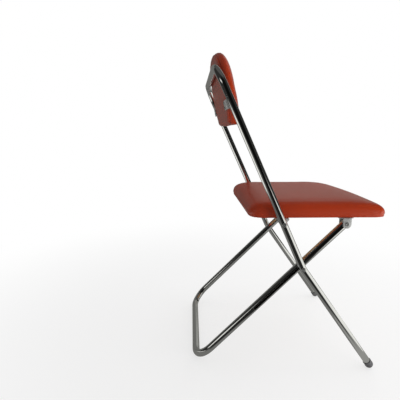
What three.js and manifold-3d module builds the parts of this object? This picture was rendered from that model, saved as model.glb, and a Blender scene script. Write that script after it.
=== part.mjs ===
// A folding side chair: two bent tube frames that cross, a padded seat that flips up between the
// uprights, and a padded backrest. Millimetres, +Z up, the chair faces -Y. The origin lies on the
// floor under the middle of the chair.

import * as THREE from 'three';
import { mergeVertices } from 'three/addons/utils/BufferGeometryUtils.js';
import Module from 'manifold-3d';

const wasm = await Module();
wasm.setup();

const degree = Math.PI / 180;

// Tube frames
const uprightDiameter = 18;
const legDiameter = 20;
const tubeWall = 1.5;
const uprightSpacing = 410;
const topBarHeight = 765;
const topBendRadius = 50;
const kneeBendRadius = 70;
const legBendRadius = 56;
const uprightRake = 24.7 * degree;
const frontLegRake = 35.5 * degree;

// Crossing of the two frames, forward of the floor bar and above the floor
const crossingForward = 267.5;
const crossingHeight = 281;

// Slot in each leg, in which the crossing pin slides
const slotWidth = 7;
const slotAboveCrossing = 9;
const slotBelowCrossing = 166;

// Clearances
const touchGap = 0.3;
const pivotGap = 0.5;
const holeClearance = 0.3;
const overrun = 2;

// Rubber foot tips
const tipRadius = 10.6;
const tipSleeveHeight = 11;
const tipBoreDepth = 3;
const tipFlatDepth = 0.8;

// Rivets and washers
const rivetRadius = 3;
const rivetHeadRadius = 5.5;
const rivetHeadHeight = 2;
const rivetFlatHeight = 1.2;
const rivetDishShare = 0.6;
const rivetChamferShare = 0.9;
const washerRadius = 7.5;

// Seat
const seatUnderside = 408;
const seatRearEdge = 133;
const seatDepth = 352;
const seatSideGap = 5;
const seatThickness = 44;
const seatFrontThickness = 17;
const seatRearThickness = 27;
const seatFrontSlope = 120;
const seatRearSlope = 75;
const seatFrontCorner = 24;
const seatRearCorner = 30;
const seatFrontBow = 3;
const seatBoardThickness = 9;
const seatCoverThickness = 1.3;
const seatHemWidth = 22;

// Seat brackets
const plateThickness = 2;
const rearPivotDrop = 11.5;
const frontPivotDrop = 16.3;
const bracketLugRadius = 7.5;
const bracketTopLength = 32;
const bracketFlangeWidth = 26;
const clevisLength = 21;
const clevisFootLength = 38;
const legEndPastPivot = 6.5;
const bracketScrewInset = 6.5;

// Screws
const screwRadius = 1.6;
const screwHeadRadius = 3.6;
const screwHeadHeight = 1.8;
const screwLength = 9;
const screwCrownShare = 0.7;

// Backrest
const backTopHeight = 818;
const backBottomHeight = 638;
const backRake = 11.7 * degree;
const backSideGap = 12;
const backWaistShare = 0.34;
const backArchFullness = 2.8;
const backFootTaper = 30;
const backBottomCorner = 26;
const backCornerLimitShare = 0.7;
const backBottomFlare = 15 * degree;
const backFootThickness = 36;
const backHeadThickness = 39;
const backSeamShare = 0.16;
const backBoardThickness = 6;
const backCoverThickness = 1.3;

// Angle brackets that hold the backrest to the uprights
const angleHeight = 22;
const angleAboveBottom = 46;
const angleReach = 46;
const angleLip = 7;
const angleScrewInset = 9;

// Facets
const tubeFacets = 18;
const bendSteps = 7;
const padFacets = 40;
const smallFacets = 16;
const screwFacets = 10;

// Worked out from the sizes above
const uprightRadius = uprightDiameter / 2;
const legRadius = legDiameter / 2;
const uprightOffset = uprightSpacing / 2;
const uprightInnerFace = uprightOffset - uprightRadius;
const bracketOuterFace = uprightInnerFace - pivotGap;
const bracketInnerFace = bracketOuterFace - plateThickness;
const legOuterFace = bracketInnerFace - touchGap - rivetFlatHeight - pivotGap;
const legOffset = legOuterFace - legRadius;
const legAngle = Math.atan2(crossingHeight - legRadius, crossingForward);
const seatHalfWidth = uprightInnerFace - seatSideGap;
const sides = [['left', 1], ['right', -1]];

// A point of the side view, at a distance across the chair: forward of the floor bar and up
function at(across, forward, up) {
  return new THREE.Vector3(across, -forward, up);
}

const crossing = { forward: crossingForward, up: crossingHeight };
const rearPivot = alongUpright(seatUnderside - rearPivotDrop);
const frontPivot = alongLeg(seatUnderside - frontPivotDrop);

// The upright's centre line above the crossing, at a height
function alongUpright(up) {
  return { forward: crossingForward - (up - crossingHeight) * Math.tan(uprightRake), up };
}

// The front leg's centre line below the crossing, at a height
function alongFrontLeg(up) {
  return { forward: crossingForward + (crossingHeight - up) * Math.tan(frontLegRake), up };
}

// The leg tube's centre line, at a height
function alongLeg(up) {
  return { forward: (up - legRadius) / Math.tan(legAngle), up };
}

// Solids for cutting and joining
function solid(geometry) {
  const bare = geometry.clone();
  bare.deleteAttribute('normal');
  bare.deleteAttribute('uv');
  const merged = mergeVertices(bare, 1e-4);
  const corners = merged.index.array;
  const kept = [];
  for (let i = 0; i < corners.length; i += 3) {
    const [a, b, c] = [corners[i], corners[i + 1], corners[i + 2]];
    if (a !== b && b !== c && c !== a) kept.push(a, b, c);
  }
  return new wasm.Manifold(new wasm.Mesh({
    numProp: 3,
    vertProperties: new Float32Array(merged.attributes.position.array),
    triVerts: new Uint32Array(kept),
  }));
}

function surface(body) {
  const mesh = body.getMesh();
  const geometry = new THREE.BufferGeometry();
  geometry.setAttribute('position', new THREE.BufferAttribute(mesh.vertProperties, 3));
  geometry.setIndex(new THREE.BufferAttribute(mesh.triVerts, 1));
  geometry.computeVertexNormals();
  return geometry;
}

function cut(body, ...tools) {
  return tools.reduce((rest, tool) => rest.subtract(tool), body);
}

// A route whose rings lie only where the tube bends
class TubeRoute extends THREE.Curve {
  constructor(stations) {
    super();
    this.stations = stations;
  }

  station(t) {
    return this.stations[Math.round(t * (this.stations.length - 1))];
  }

  getPoint(t, target = new THREE.Vector3()) {
    return target.copy(this.station(t).point);
  }

  getPointAt(u, target) {
    return this.getPoint(u, target);
  }

  getTangentAt(u, target = new THREE.Vector3()) {
    return target.copy(this.station(u).tangent);
  }
}

// Straight runs between corners, each corner rounded by its own radius
function bentRoute(corners, radii) {
  const heading = (a, b) => new THREE.Vector3().subVectors(b, a).normalize();
  const stations = [{ point: corners[0], tangent: heading(corners[0], corners[1]) }];
  for (let i = 1; i < corners.length - 1; i += 1) {
    const into = heading(corners[i - 1], corners[i]);
    const out = heading(corners[i], corners[i + 1]);
    const turn = into.angleTo(out);
    const inward = out.clone().addScaledVector(into, -into.dot(out)).normalize();
    const radius = radii[i - 1];
    const start = corners[i].clone().addScaledVector(into, -radius * Math.tan(turn / 2));
    const steps = Math.max(2, Math.round(bendSteps * turn / (Math.PI / 2)));
    for (let k = 0; k <= steps; k += 1) {
      const angle = turn * k / steps;
      const point = start.clone()
        .addScaledVector(into, radius * Math.sin(angle))
        .addScaledVector(inward, radius * (1 - Math.cos(angle)));
      const tangent = into.clone().multiplyScalar(Math.cos(angle))
        .addScaledVector(inward, Math.sin(angle));
      stations.push({ point, tangent });
    }
  }
  const last = corners.length - 1;
  stations.push({ point: corners[last], tangent: heading(corners[last - 1], corners[last]) });
  return new TubeRoute(stations);
}

function tube(route, radius) {
  const section = new THREE.Shape().absarc(0, 0, radius, 0, 2 * Math.PI, false);
  section.holes.push(new THREE.Path().absarc(0, 0, radius - tubeWall, 0, 2 * Math.PI, true));
  return solid(new THREE.ExtrudeGeometry(section, {
    steps: route.stations.length - 1,
    curveSegments: tubeFacets / 2,
    extrudePath: route,
    bevelEnabled: false,
  }));
}

// A turned piece whose axis runs across the chair, outwards on its own side
function turnedAcross(profile, side, facets) {
  const points = profile.map(([radius, along]) => new THREE.Vector2(radius, along));
  return new THREE.LatheGeometry(points, facets).rotateZ(-side * Math.PI / 2);
}

// A bar across the chair from one distance to another, for holes
function barAcross(radius, from, to, forward, up) {
  const bar = new THREE.CylinderGeometry(radius, radius, Math.abs(to - from), smallFacets);
  bar.rotateZ(Math.PI / 2);
  bar.translate((from + to) / 2, -forward, up);
  return solid(bar);
}

// A plate drawn in the side view and extruded across the chair, from its face of larger X
function sidePlate(shape, highFace, thickness) {
  const plate = new THREE.ExtrudeGeometry(shape, {
    depth: thickness,
    curveSegments: smallFacets / 2,
    bevelEnabled: false,
  });
  const turned = new THREE.Matrix4().makeBasis(
    new THREE.Vector3(0, -1, 0), new THREE.Vector3(0, 0, 1), new THREE.Vector3(-1, 0, 0));
  plate.applyMatrix4(turned);
  plate.translate(highFace, 0, 0);
  return solid(plate);
}

// The face of larger X of a layer that lies between two distances from the middle
function highFace(side, inner, outer) {
  return side > 0 ? outer : -inner;
}

function box(lengths, middle) {
  const block = new THREE.BoxGeometry(lengths.x, lengths.y, lengths.z);
  block.translate(middle.x, middle.y, middle.z);
  return solid(block);
}

// Materials
function finish(color, roughness, metalness) {
  return new THREE.MeshStandardMaterial({ color, roughness, metalness });
}

const chromeFinish = () => finish(0xc9cbcd, 0.08, 1);
const zincFinish = () => finish(0xa9adab, 0.42, 0.9);
const rubberFinish = () => finish(0x26262a, 0.7, 0);
const leatheretteFinish = () => finish(0xb2381a, 0.45, 0);
const foamFinish = () => finish(0xd9c58c, 0.95, 0);
const plywoodFinish = () => finish(0xb98d5a, 0.8, 0);

const chair = new THREE.Group();

function addPiece(name, geometry, material, parent = chair) {
  const mesh = new THREE.Mesh(geometry, material);
  mesh.name = name;
  parent.add(mesh);
  return mesh;
}

// The backrest's own directions: up the back and forward of it
const backTilt = new THREE.Vector3(0, Math.sin(backRake), Math.cos(backRake));
const backFacing = new THREE.Vector3(0, -Math.cos(backRake), Math.sin(backRake));
const topBar = alongUpright(topBarHeight);

// The backrest's rear plane leans on the top bar; its foot is the local origin of the backrest
const backRearClearance = uprightRadius + touchGap;
const backLength = (backTopHeight - backBottomHeight) / Math.cos(backRake);
const backFoot = backrestFoot();

function backrestFoot() {
  const onPlane = at(0, topBar.forward, topBar.up).addScaledVector(backFacing, backRearClearance);
  const upTheBack = (onPlane.z - backBottomHeight) / Math.cos(backRake);
  return onPlane.addScaledVector(backTilt, -upTheBack);
}

// A point of the chair in the backrest's own frame: across, up the back, and forward of its rear plane
function inBackrest(point) {
  const offset = point.clone().sub(backFoot);
  return new THREE.Vector3(offset.x, offset.dot(backTilt), offset.dot(backFacing));
}

// Where each angle bracket is riveted to its upright
const angleSeat = alongUpright(backBottomHeight + angleAboveBottom * Math.cos(backRake));

function uprightFrame() {
  const tipCentre = alongFrontLeg(tipRadius - tipFlatDepth);
  const tubeEndUp = tipCentre.up - (tipBoreDepth - touchGap) * Math.cos(frontLegRake);
  const foot = alongFrontLeg(tubeEndUp);
  const top = alongUpright(topBarHeight);
  const corners = [
    at(uprightOffset, foot.forward, foot.up),
    at(uprightOffset, crossing.forward, crossing.up),
    at(uprightOffset, top.forward, top.up),
    at(-uprightOffset, top.forward, top.up),
    at(-uprightOffset, crossing.forward, crossing.up),
    at(-uprightOffset, foot.forward, foot.up),
  ];
  const route = bentRoute(corners, [kneeBendRadius, topBendRadius, topBendRadius, kneeBendRadius]);
  const holeRadius = rivetRadius + holeClearance;
  const outside = uprightOffset + uprightRadius + overrun;
  const inside = uprightInnerFace - overrun;
  const holes = [];
  for (const [, side] of sides) {
    for (const pivot of [crossing, rearPivot]) {
      holes.push(barAcross(holeRadius, side * inside, side * outside, pivot.forward, pivot.up));
    }
    holes.push(barAcross(screwRadius + holeClearance, side * inside, side * uprightOffset,
      angleSeat.forward, angleSeat.up));
  }
  addPiece('upright_frame', surface(cut(tube(route, uprightRadius), ...holes)), chromeFinish());
}

// Leg frame
function legFrame() {
  const end = {
    forward: frontPivot.forward + legEndPastPivot * Math.cos(legAngle),
    up: frontPivot.up + legEndPastPivot * Math.sin(legAngle),
  };
  const corners = [
    at(legOffset, end.forward, end.up),
    at(legOffset, 0, legRadius),
    at(-legOffset, 0, legRadius),
    at(-legOffset, end.forward, end.up),
  ];
  const route = bentRoute(corners, [legBendRadius, legBendRadius]);
  const tools = [];
  for (const [, side] of sides) {
    const outer = legOuterFace + overrun;
    tools.push(barAcross(rivetRadius + holeClearance, side * (legOffset - legRadius - overrun),
      side * outer, frontPivot.forward, frontPivot.up));
    tools.push(sidePlate(slotOutline(), highFace(side, legOffset, outer), outer - legOffset));
  }
  addPiece('leg_frame', surface(cut(tube(route, legRadius), ...tools)), chromeFinish());
}

// The slot runs along the leg, from just above the crossing pin to where it ends when folded
function slotOutline() {
  const radius = slotWidth / 2;
  const run = new THREE.Vector2(Math.cos(legAngle), Math.sin(legAngle));
  const pin = new THREE.Vector2(crossing.forward, crossing.up);
  const upper = pin.clone().addScaledVector(run, slotAboveCrossing - radius);
  const lower = pin.clone().addScaledVector(run, radius - slotBelowCrossing);
  const shape = new THREE.Shape();
  shape.absarc(upper.x, upper.y, radius, legAngle - Math.PI / 2, legAngle + Math.PI / 2, false);
  shape.absarc(lower.x, lower.y, radius, legAngle + Math.PI / 2, legAngle + 3 * Math.PI / 2, false);
  shape.closePath();
  return shape;
}

// Rubber tips, round below and cut flat where they stand
function footTips() {
  const sleeve = uprightRadius + touchGap;
  const profile = [];
  const roundSteps = smallFacets / 4;
  for (let k = 0; k <= roundSteps; k += 1) {
    const angle = Math.PI / 2 * k / roundSteps;
    profile.push(new THREE.Vector2(tipRadius * Math.sin(angle), -tipRadius * Math.cos(angle)));
  }
  profile.push(new THREE.Vector2(tipRadius, tipSleeveHeight));
  profile.push(new THREE.Vector2(sleeve, tipSleeveHeight));
  profile.push(new THREE.Vector2(sleeve, -tipBoreDepth));
  profile.push(new THREE.Vector2(0, -tipBoreDepth));
  const centre = alongFrontLeg(tipRadius - tipFlatDepth);
  for (const [name, side] of sides) {
    const tip = new THREE.LatheGeometry(profile, tubeFacets);
    tip.rotateX(Math.PI / 2 - frontLegRake);
    const middle = at(side * uprightOffset, centre.forward, centre.up);
    tip.translate(middle.x, middle.y, middle.z);
    const floor = 2 * tipRadius;
    const floorBlock = box(new THREE.Vector3(2 * floor, 2 * floor, floor),
      new THREE.Vector3(middle.x, middle.y, -floor / 2));
    addPiece(`foot_tip_${name}`, surface(cut(solid(tip), floorBlock)), rubberFinish());
  }
}

// A dome head on the outside, a shank, and a flat head inside where there is one
function rivetProfile(headFace, shankEnd, flatFace) {
  const profile = [[0, shankEnd]];
  if (flatFace !== undefined) {
    profile.push([rivetHeadRadius, shankEnd], [rivetHeadRadius, flatFace], [rivetRadius, flatFace]);
  } else {
    profile.push([rivetRadius, shankEnd]);
  }
  profile.push([rivetRadius, headFace], [rivetHeadRadius, headFace]);
  const domeShares = [[0.95, 0.45], [0.7, 0.82], [0.38, 0.97]];
  for (const [radiusShare, heightShare] of domeShares) {
    profile.push([rivetHeadRadius * radiusShare, headFace + rivetHeadHeight * heightShare]);
  }
  profile.push([0, headFace + rivetHeadHeight]);
  return profile;
}

function turnedAt(name, profile, side, facets, pivot, material) {
  const piece = addPiece(name, turnedAcross(profile, side, facets), material);
  piece.position.copy(at(0, pivot.forward, pivot.up));
}

// Rivets and washers at the crossing. The pin stops short of the slotted leg.
function crossingPins() {
  const outerFace = uprightOffset + uprightRadius + touchGap;
  const pinEnd = legOuterFace + pivotGap;
  const washerOuter = uprightInnerFace - touchGap;
  const bore = rivetRadius + holeClearance;
  const ring = [[bore, pinEnd], [washerRadius, pinEnd], [washerRadius, washerOuter],
    [bore, washerOuter], [bore, pinEnd]];
  for (const [name, side] of sides) {
    turnedAt(`crossing_rivet_${name}`, rivetProfile(outerFace, pinEnd), side, smallFacets,
      crossing, zincFinish());
    turnedAt(`crossing_washer_${name}`, ring, side, smallFacets, crossing, zincFinish());
  }
}

// Rivets that hang the seat's rear brackets on the uprights
function rearPivots() {
  const outerFace = uprightOffset + uprightRadius + touchGap;
  const flatFace = bracketInnerFace - touchGap;
  const shankEnd = flatFace - rivetFlatHeight;
  for (const [name, side] of sides) {
    turnedAt(`rear_pivot_rivet_${name}`, rivetProfile(outerFace, shankEnd, flatFace), side,
      smallFacets, rearPivot, zincFinish());
  }
}

// Rivets that hold the legs in the seat's front clevises, flat on both heads
const clevisOuterInside = legOuterFace + pivotGap;
const clevisOuterFace = clevisOuterInside + plateThickness;
const clevisInnerInside = legOffset - legRadius - pivotGap;
const clevisInnerFace = clevisInnerInside - plateThickness;

function frontPivots() {
  const outer = clevisOuterFace + touchGap;
  const inner = clevisInnerFace - touchGap;
  const dish = rivetRadius * rivetDishShare;
  const profile = [
    [0, inner - rivetFlatHeight], [rivetHeadRadius, inner - rivetFlatHeight],
    [rivetHeadRadius, inner], [rivetRadius, inner],
    [rivetRadius, outer], [rivetHeadRadius, outer],
    [rivetHeadRadius * rivetChamferShare, outer + rivetFlatHeight], [dish, outer + rivetFlatHeight],
    [dish, outer - plateThickness], [0, outer - plateThickness],
  ];
  for (const [name, side] of sides) {
    turnedAt(`front_pivot_rivet_${name}`, profile, side, smallFacets, frontPivot, zincFinish());
  }
}

// Screws that stand upright: the head hangs below a face and the shank goes up through it
function screwGeometry(headFaceUp) {
  const headShares = [[0.55, 0.92], [0.88, 0.62], [1, 0.25]];
  const profile = [new THREE.Vector2(0, headFaceUp - screwHeadHeight)];
  for (const [radiusShare, heightShare] of headShares) {
    profile.push(new THREE.Vector2(screwHeadRadius * radiusShare,
      headFaceUp - screwHeadHeight * heightShare));
  }
  profile.push(new THREE.Vector2(screwHeadRadius, headFaceUp));
  profile.push(new THREE.Vector2(screwRadius, headFaceUp));
  profile.push(new THREE.Vector2(screwRadius, headFaceUp + screwLength - screwRadius));
  profile.push(new THREE.Vector2(0, headFaceUp + screwLength));
  const screw = new THREE.LatheGeometry(profile, screwFacets);
  return screw.rotateX(Math.PI / 2);
}

function screwHole(across, forward, low, high) {
  const radius = screwRadius + holeClearance;
  const hole = new THREE.CylinderGeometry(radius, radius, high - low, screwFacets);
  hole.rotateX(Math.PI / 2);
  hole.translate(across, -forward, (low + high) / 2);
  return solid(hole);
}

// Where the four screws of each side stand, in plan
const plateTop = seatUnderside - touchGap;
const plateBottom = plateTop - plateThickness;
const flangeMiddle = bracketOuterFace - bracketFlangeWidth / 2 - plateThickness;
const clevisMiddle = legOffset;

function seatScrewPlaces() {
  const places = [];
  for (const [name, side] of sides) {
    for (const [end, direction] of [['front', 1], ['rear', -1]]) {
      places.push({
        name: `rear_bracket_screw_${end}_${name}`,
        across: side * flangeMiddle,
        forward: rearPivot.forward + direction * (bracketTopLength / 2 - bracketScrewInset),
      });
      places.push({
        name: `clevis_screw_${end}_${name}`,
        across: side * clevisMiddle,
        forward: frontPivot.forward + direction * (clevisFootLength / 2 - bracketScrewInset),
      });
    }
  }
  return places;
}

function seatScrews() {
  for (const place of seatScrewPlaces()) {
    const screw = addPiece(place.name, screwGeometry(plateBottom - touchGap), zincFinish());
    screw.position.set(place.across, -place.forward, 0);
  }
}

function seatScrewHoles(low, high) {
  return seatScrewPlaces().map((place) => screwHole(place.across, place.forward, low, high));
}

// The bracket's lug is a round end on the pivot, joined by straight flanks to its wide top
function lugOutline(pivot, radius, halfTop, top) {
  const rise = top - pivot.up;
  const reach = Math.hypot(halfTop, rise);
  const flank = Math.acos(Math.min(1, radius / reach)) + Math.atan2(halfTop, rise);
  const shape = new THREE.Shape();
  shape.moveTo(pivot.forward - halfTop, top);
  shape.absarc(pivot.forward, pivot.up, radius, Math.PI / 2 + flank, Math.PI / 2 - flank + 2 * Math.PI,
    false);
  shape.lineTo(pivot.forward + halfTop, top);
  shape.closePath();
  return shape;
}

function rearBrackets() {
  const outline = lugOutline(rearPivot, bracketLugRadius, bracketTopLength / 2, plateTop);
  const screwTools = seatScrewHoles(plateBottom - overrun, plateTop + overrun);
  for (const [name, side] of sides) {
    const ear = sidePlate(outline, highFace(side, bracketInnerFace, bracketOuterFace), plateThickness);
    const flange = box(new THREE.Vector3(bracketFlangeWidth, bracketTopLength, plateThickness),
      at(side * (bracketOuterFace - bracketFlangeWidth / 2), rearPivot.forward,
        plateTop - plateThickness / 2));
    const hole = barAcross(rivetRadius + holeClearance, side * (bracketInnerFace - overrun),
      side * (bracketOuterFace + overrun), rearPivot.forward, rearPivot.up);
    addPiece(`seat_rear_bracket_${name}`, surface(cut(ear.add(flange), hole, ...screwTools)),
      zincFinish());
  }
}

// A clevis is a channel: two ears hang from a foot that is longer than they are
function frontClevises() {
  const half = clevisLength / 2;
  const outline = new THREE.Shape();
  outline.moveTo(frontPivot.forward - half, plateTop);
  outline.absarc(frontPivot.forward, frontPivot.up, half, Math.PI, 2 * Math.PI, false);
  outline.lineTo(frontPivot.forward + half, plateTop);
  outline.closePath();
  const screwTools = seatScrewHoles(plateBottom - overrun, plateTop + overrun);
  for (const [name, side] of sides) {
    const outerEar = sidePlate(outline, highFace(side, clevisOuterInside, clevisOuterFace),
      plateThickness);
    const innerEar = sidePlate(outline, highFace(side, clevisInnerFace, clevisInnerInside),
      plateThickness);
    const foot = box(
      new THREE.Vector3(clevisOuterFace - clevisInnerFace, clevisFootLength, plateThickness),
      at(side * (clevisOuterFace + clevisInnerFace) / 2, frontPivot.forward,
        plateTop - plateThickness / 2));
    const hole = barAcross(rivetRadius + holeClearance, side * (clevisInnerFace - overrun),
      side * (clevisOuterFace + overrun), frontPivot.forward, frontPivot.up);
    addPiece(`seat_front_clevis_${name}`,
      surface(cut(outerEar.add(innerEar).add(foot), hole, ...screwTools)), zincFinish());
  }
}

// A padded form: rings that follow an outline, from the flat underside over the rim to the crown.
// Each profile entry is a share of the way to the rim and a share of the local thickness.
const seatProfileShares = [
  [0, 0], [0.5, 0], [0.965, 0], [0.985, 0.07], [0.998, 0.25], [1, 0.42], [0.99, 0.62],
  [0.965, 0.79], [0.915, 0.89], [0.82, 0.945], [0.64, 0.98], [0.36, 0.995], [0, 1],
];
const backProfileShares = [
  [0, 0], [0.5, 0], [0.9, 0], [0.945, 0.04], [0.978, 0.12], [1, 0.38], [0.982, 0.56],
  [0.93, 0.71], [0.84, 0.83], [0.66, 0.93], [0.38, 0.985], [0, 1],
];

function padForm(profileShares, outline, centre, thicknessAt, base, inset) {
  const rings = profileShares.map(([out, up]) => new THREE.Vector2(out, up));
  const form = new THREE.LatheGeometry(rings, padFacets);
  const position = form.attributes.position;
  const point = new THREE.Vector2();
  for (let i = 0; i <= padFacets; i += 1) {
    for (let j = 0; j < rings.length; j += 1) {
      point.lerpVectors(centre, outline[i % padFacets], rings[j].x);
      const thickness = thicknessAt(point) - 2 * inset;
      position.setXYZ(i * rings.length + j, point.x, point.y, base + inset + thickness * rings[j].y);
    }
  }
  return solid(form);
}

function spaced(shape) {
  return shape.getSpacedPoints(padFacets).slice(0, padFacets);
}

// Share of a fall-off that starts flat and steepens towards the edge, as a quarter of an ellipse does
function roundedFall(distance, reach) {
  const share = Math.min(1, Math.max(0, distance / reach));
  return 1 - Math.sqrt(1 - share * share);
}

// Seat outline in plan, counter-clockwise from the middle of the rear edge, drawn in by an inset
function seatOutline(inset) {
  const half = seatHalfWidth - inset;
  const rear = -seatRearEdge - inset;
  const front = -(seatRearEdge + seatDepth) + inset;
  const shoulder = front + seatFrontBow;
  const rearCorner = seatRearCorner - inset;
  const frontCorner = seatFrontCorner - inset;
  const shape = new THREE.Shape();
  shape.moveTo(0, rear);
  shape.lineTo(-half + rearCorner, rear);
  shape.absarc(-half + rearCorner, rear - rearCorner, rearCorner, Math.PI / 2, Math.PI, false);
  shape.lineTo(-half, shoulder + frontCorner);
  shape.absarc(-half + frontCorner, shoulder + frontCorner, frontCorner, Math.PI, 1.5 * Math.PI, false);
  shape.quadraticCurveTo(0, front - seatFrontBow, half - frontCorner, shoulder);
  shape.absarc(half - frontCorner, shoulder + frontCorner, frontCorner, -Math.PI / 2, 0, false);
  shape.lineTo(half, rear - rearCorner);
  shape.absarc(half - rearCorner, rear - rearCorner, rearCorner, 0, Math.PI / 2, false);
  shape.closePath();
  return shape;
}

function seatThicknessAt(point) {
  const forward = -point.y - seatRearEdge;
  const front = roundedFall(forward - (seatDepth - seatFrontSlope), seatFrontSlope);
  const rear = roundedFall(seatRearSlope - forward, seatRearSlope);
  return seatThickness - (seatThickness - seatFrontThickness) * front
    - (seatThickness - seatRearThickness) * rear;
}

function seatForm(inset) {
  const centre = new THREE.Vector2(0, -(seatRearEdge + seatDepth / 2));
  return padForm(seatProfileShares, spaced(seatOutline(inset)), centre, seatThicknessAt,
    seatUnderside, inset);
}

function slab(shape, low, high) {
  const layer = new THREE.ExtrudeGeometry(shape, {
    depth: high - low, curveSegments: bendSteps, bevelEnabled: false,
  });
  layer.translate(0, 0, low);
  return solid(layer);
}

// Seat: a plywood board and foam in a cover whose hem turns in under the board
function seat() {
  const boardLow = seatUnderside + seatCoverThickness + touchGap;
  const boardHigh = boardLow + seatBoardThickness;
  const hemTop = seatUnderside + seatCoverThickness + touchGap;
  const screwTop = plateBottom + screwLength + overrun;
  const holes = seatScrewHoles(seatUnderside - overrun, screwTop);
  const opening = slab(seatOutline(seatHemWidth), seatUnderside - overrun, hemTop);
  const cover = cut(seatForm(0), seatForm(seatCoverThickness), opening, ...holes);
  const filling = seatForm(seatCoverThickness + touchGap);
  const board = filling.intersect(slab(seatOutline(0), boardLow, boardHigh));
  const above = slab(seatOutline(0), boardHigh + touchGap, seatUnderside + seatThickness + overrun);
  addPiece('seat_board', surface(cut(board, ...holes)), plywoodFinish());
  addPiece('seat_foam', surface(filling.intersect(above)), foamFinish());
  addPiece('seat_cover', surface(cover), leatheretteFinish());
}

// Backrest outline in its own plane, counter-clockwise from the middle of its foot: a short straight
// foot, sides that widen to the waist, and a full arch above it. An arch fullness of 2 is an ellipse.
function backOutline(inset) {
  const half = uprightInnerFace - backSideGap - inset;
  const waist = backLength * backWaistShare;
  const foot = half - backFootTaper;
  const corner = Math.min(backBottomCorner, waist * backCornerLimitShare) - inset;
  const shape = new THREE.Shape();
  shape.moveTo(0, inset);
  shape.lineTo(foot - corner, inset);
  shape.absarc(foot - corner, inset + corner, corner, -Math.PI / 2, -backBottomFlare, false);
  shape.quadraticCurveTo(half, inset + corner + (waist - corner) / 2, half, waist);
  const rise = backLength - waist - inset;
  for (let k = 1; k <= padFacets; k += 1) {
    const angle = Math.PI * k / padFacets;
    const out = Math.abs(Math.cos(angle)) ** (2 / backArchFullness);
    const up = Math.sin(angle) ** (2 / backArchFullness);
    shape.lineTo(half * out * Math.sign(Math.cos(angle)), waist + rise * up);
  }
  shape.quadraticCurveTo(-half, inset + corner + (waist - corner) / 2,
    -(foot - corner + corner * Math.cos(backBottomFlare)),
    inset + corner - corner * Math.sin(backBottomFlare));
  shape.absarc(-foot + corner, inset + corner, corner, Math.PI + backBottomFlare, 1.5 * Math.PI,
    false);
  shape.closePath();
  return shape;
}

// The pad grows steadily thicker from its foot to its head
function backThicknessAt(point) {
  return backFootThickness + (backHeadThickness - backFootThickness) * point.y / backLength;
}

function backForm(inset) {
  const centre = new THREE.Vector2(0, backLength * backWaistShare);
  return padForm(backProfileShares, spaced(backOutline(inset)), centre, backThicknessAt, 0, inset);
}

// A half space beyond the seam, which lies at one share of the pad's thickness all the way up
function beyondSeam(direction) {
  const size = 2 * (uprightSpacing + backLength);
  const block = new THREE.BoxGeometry(size, size, size);
  block.translate(0, 0, direction * (size - touchGap) / 2);
  block.rotateX(Math.atan2(backSeamShare * (backHeadThickness - backFootThickness), backLength));
  block.translate(0, 0, backSeamShare * backFootThickness);
  return solid(block);
}

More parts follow.
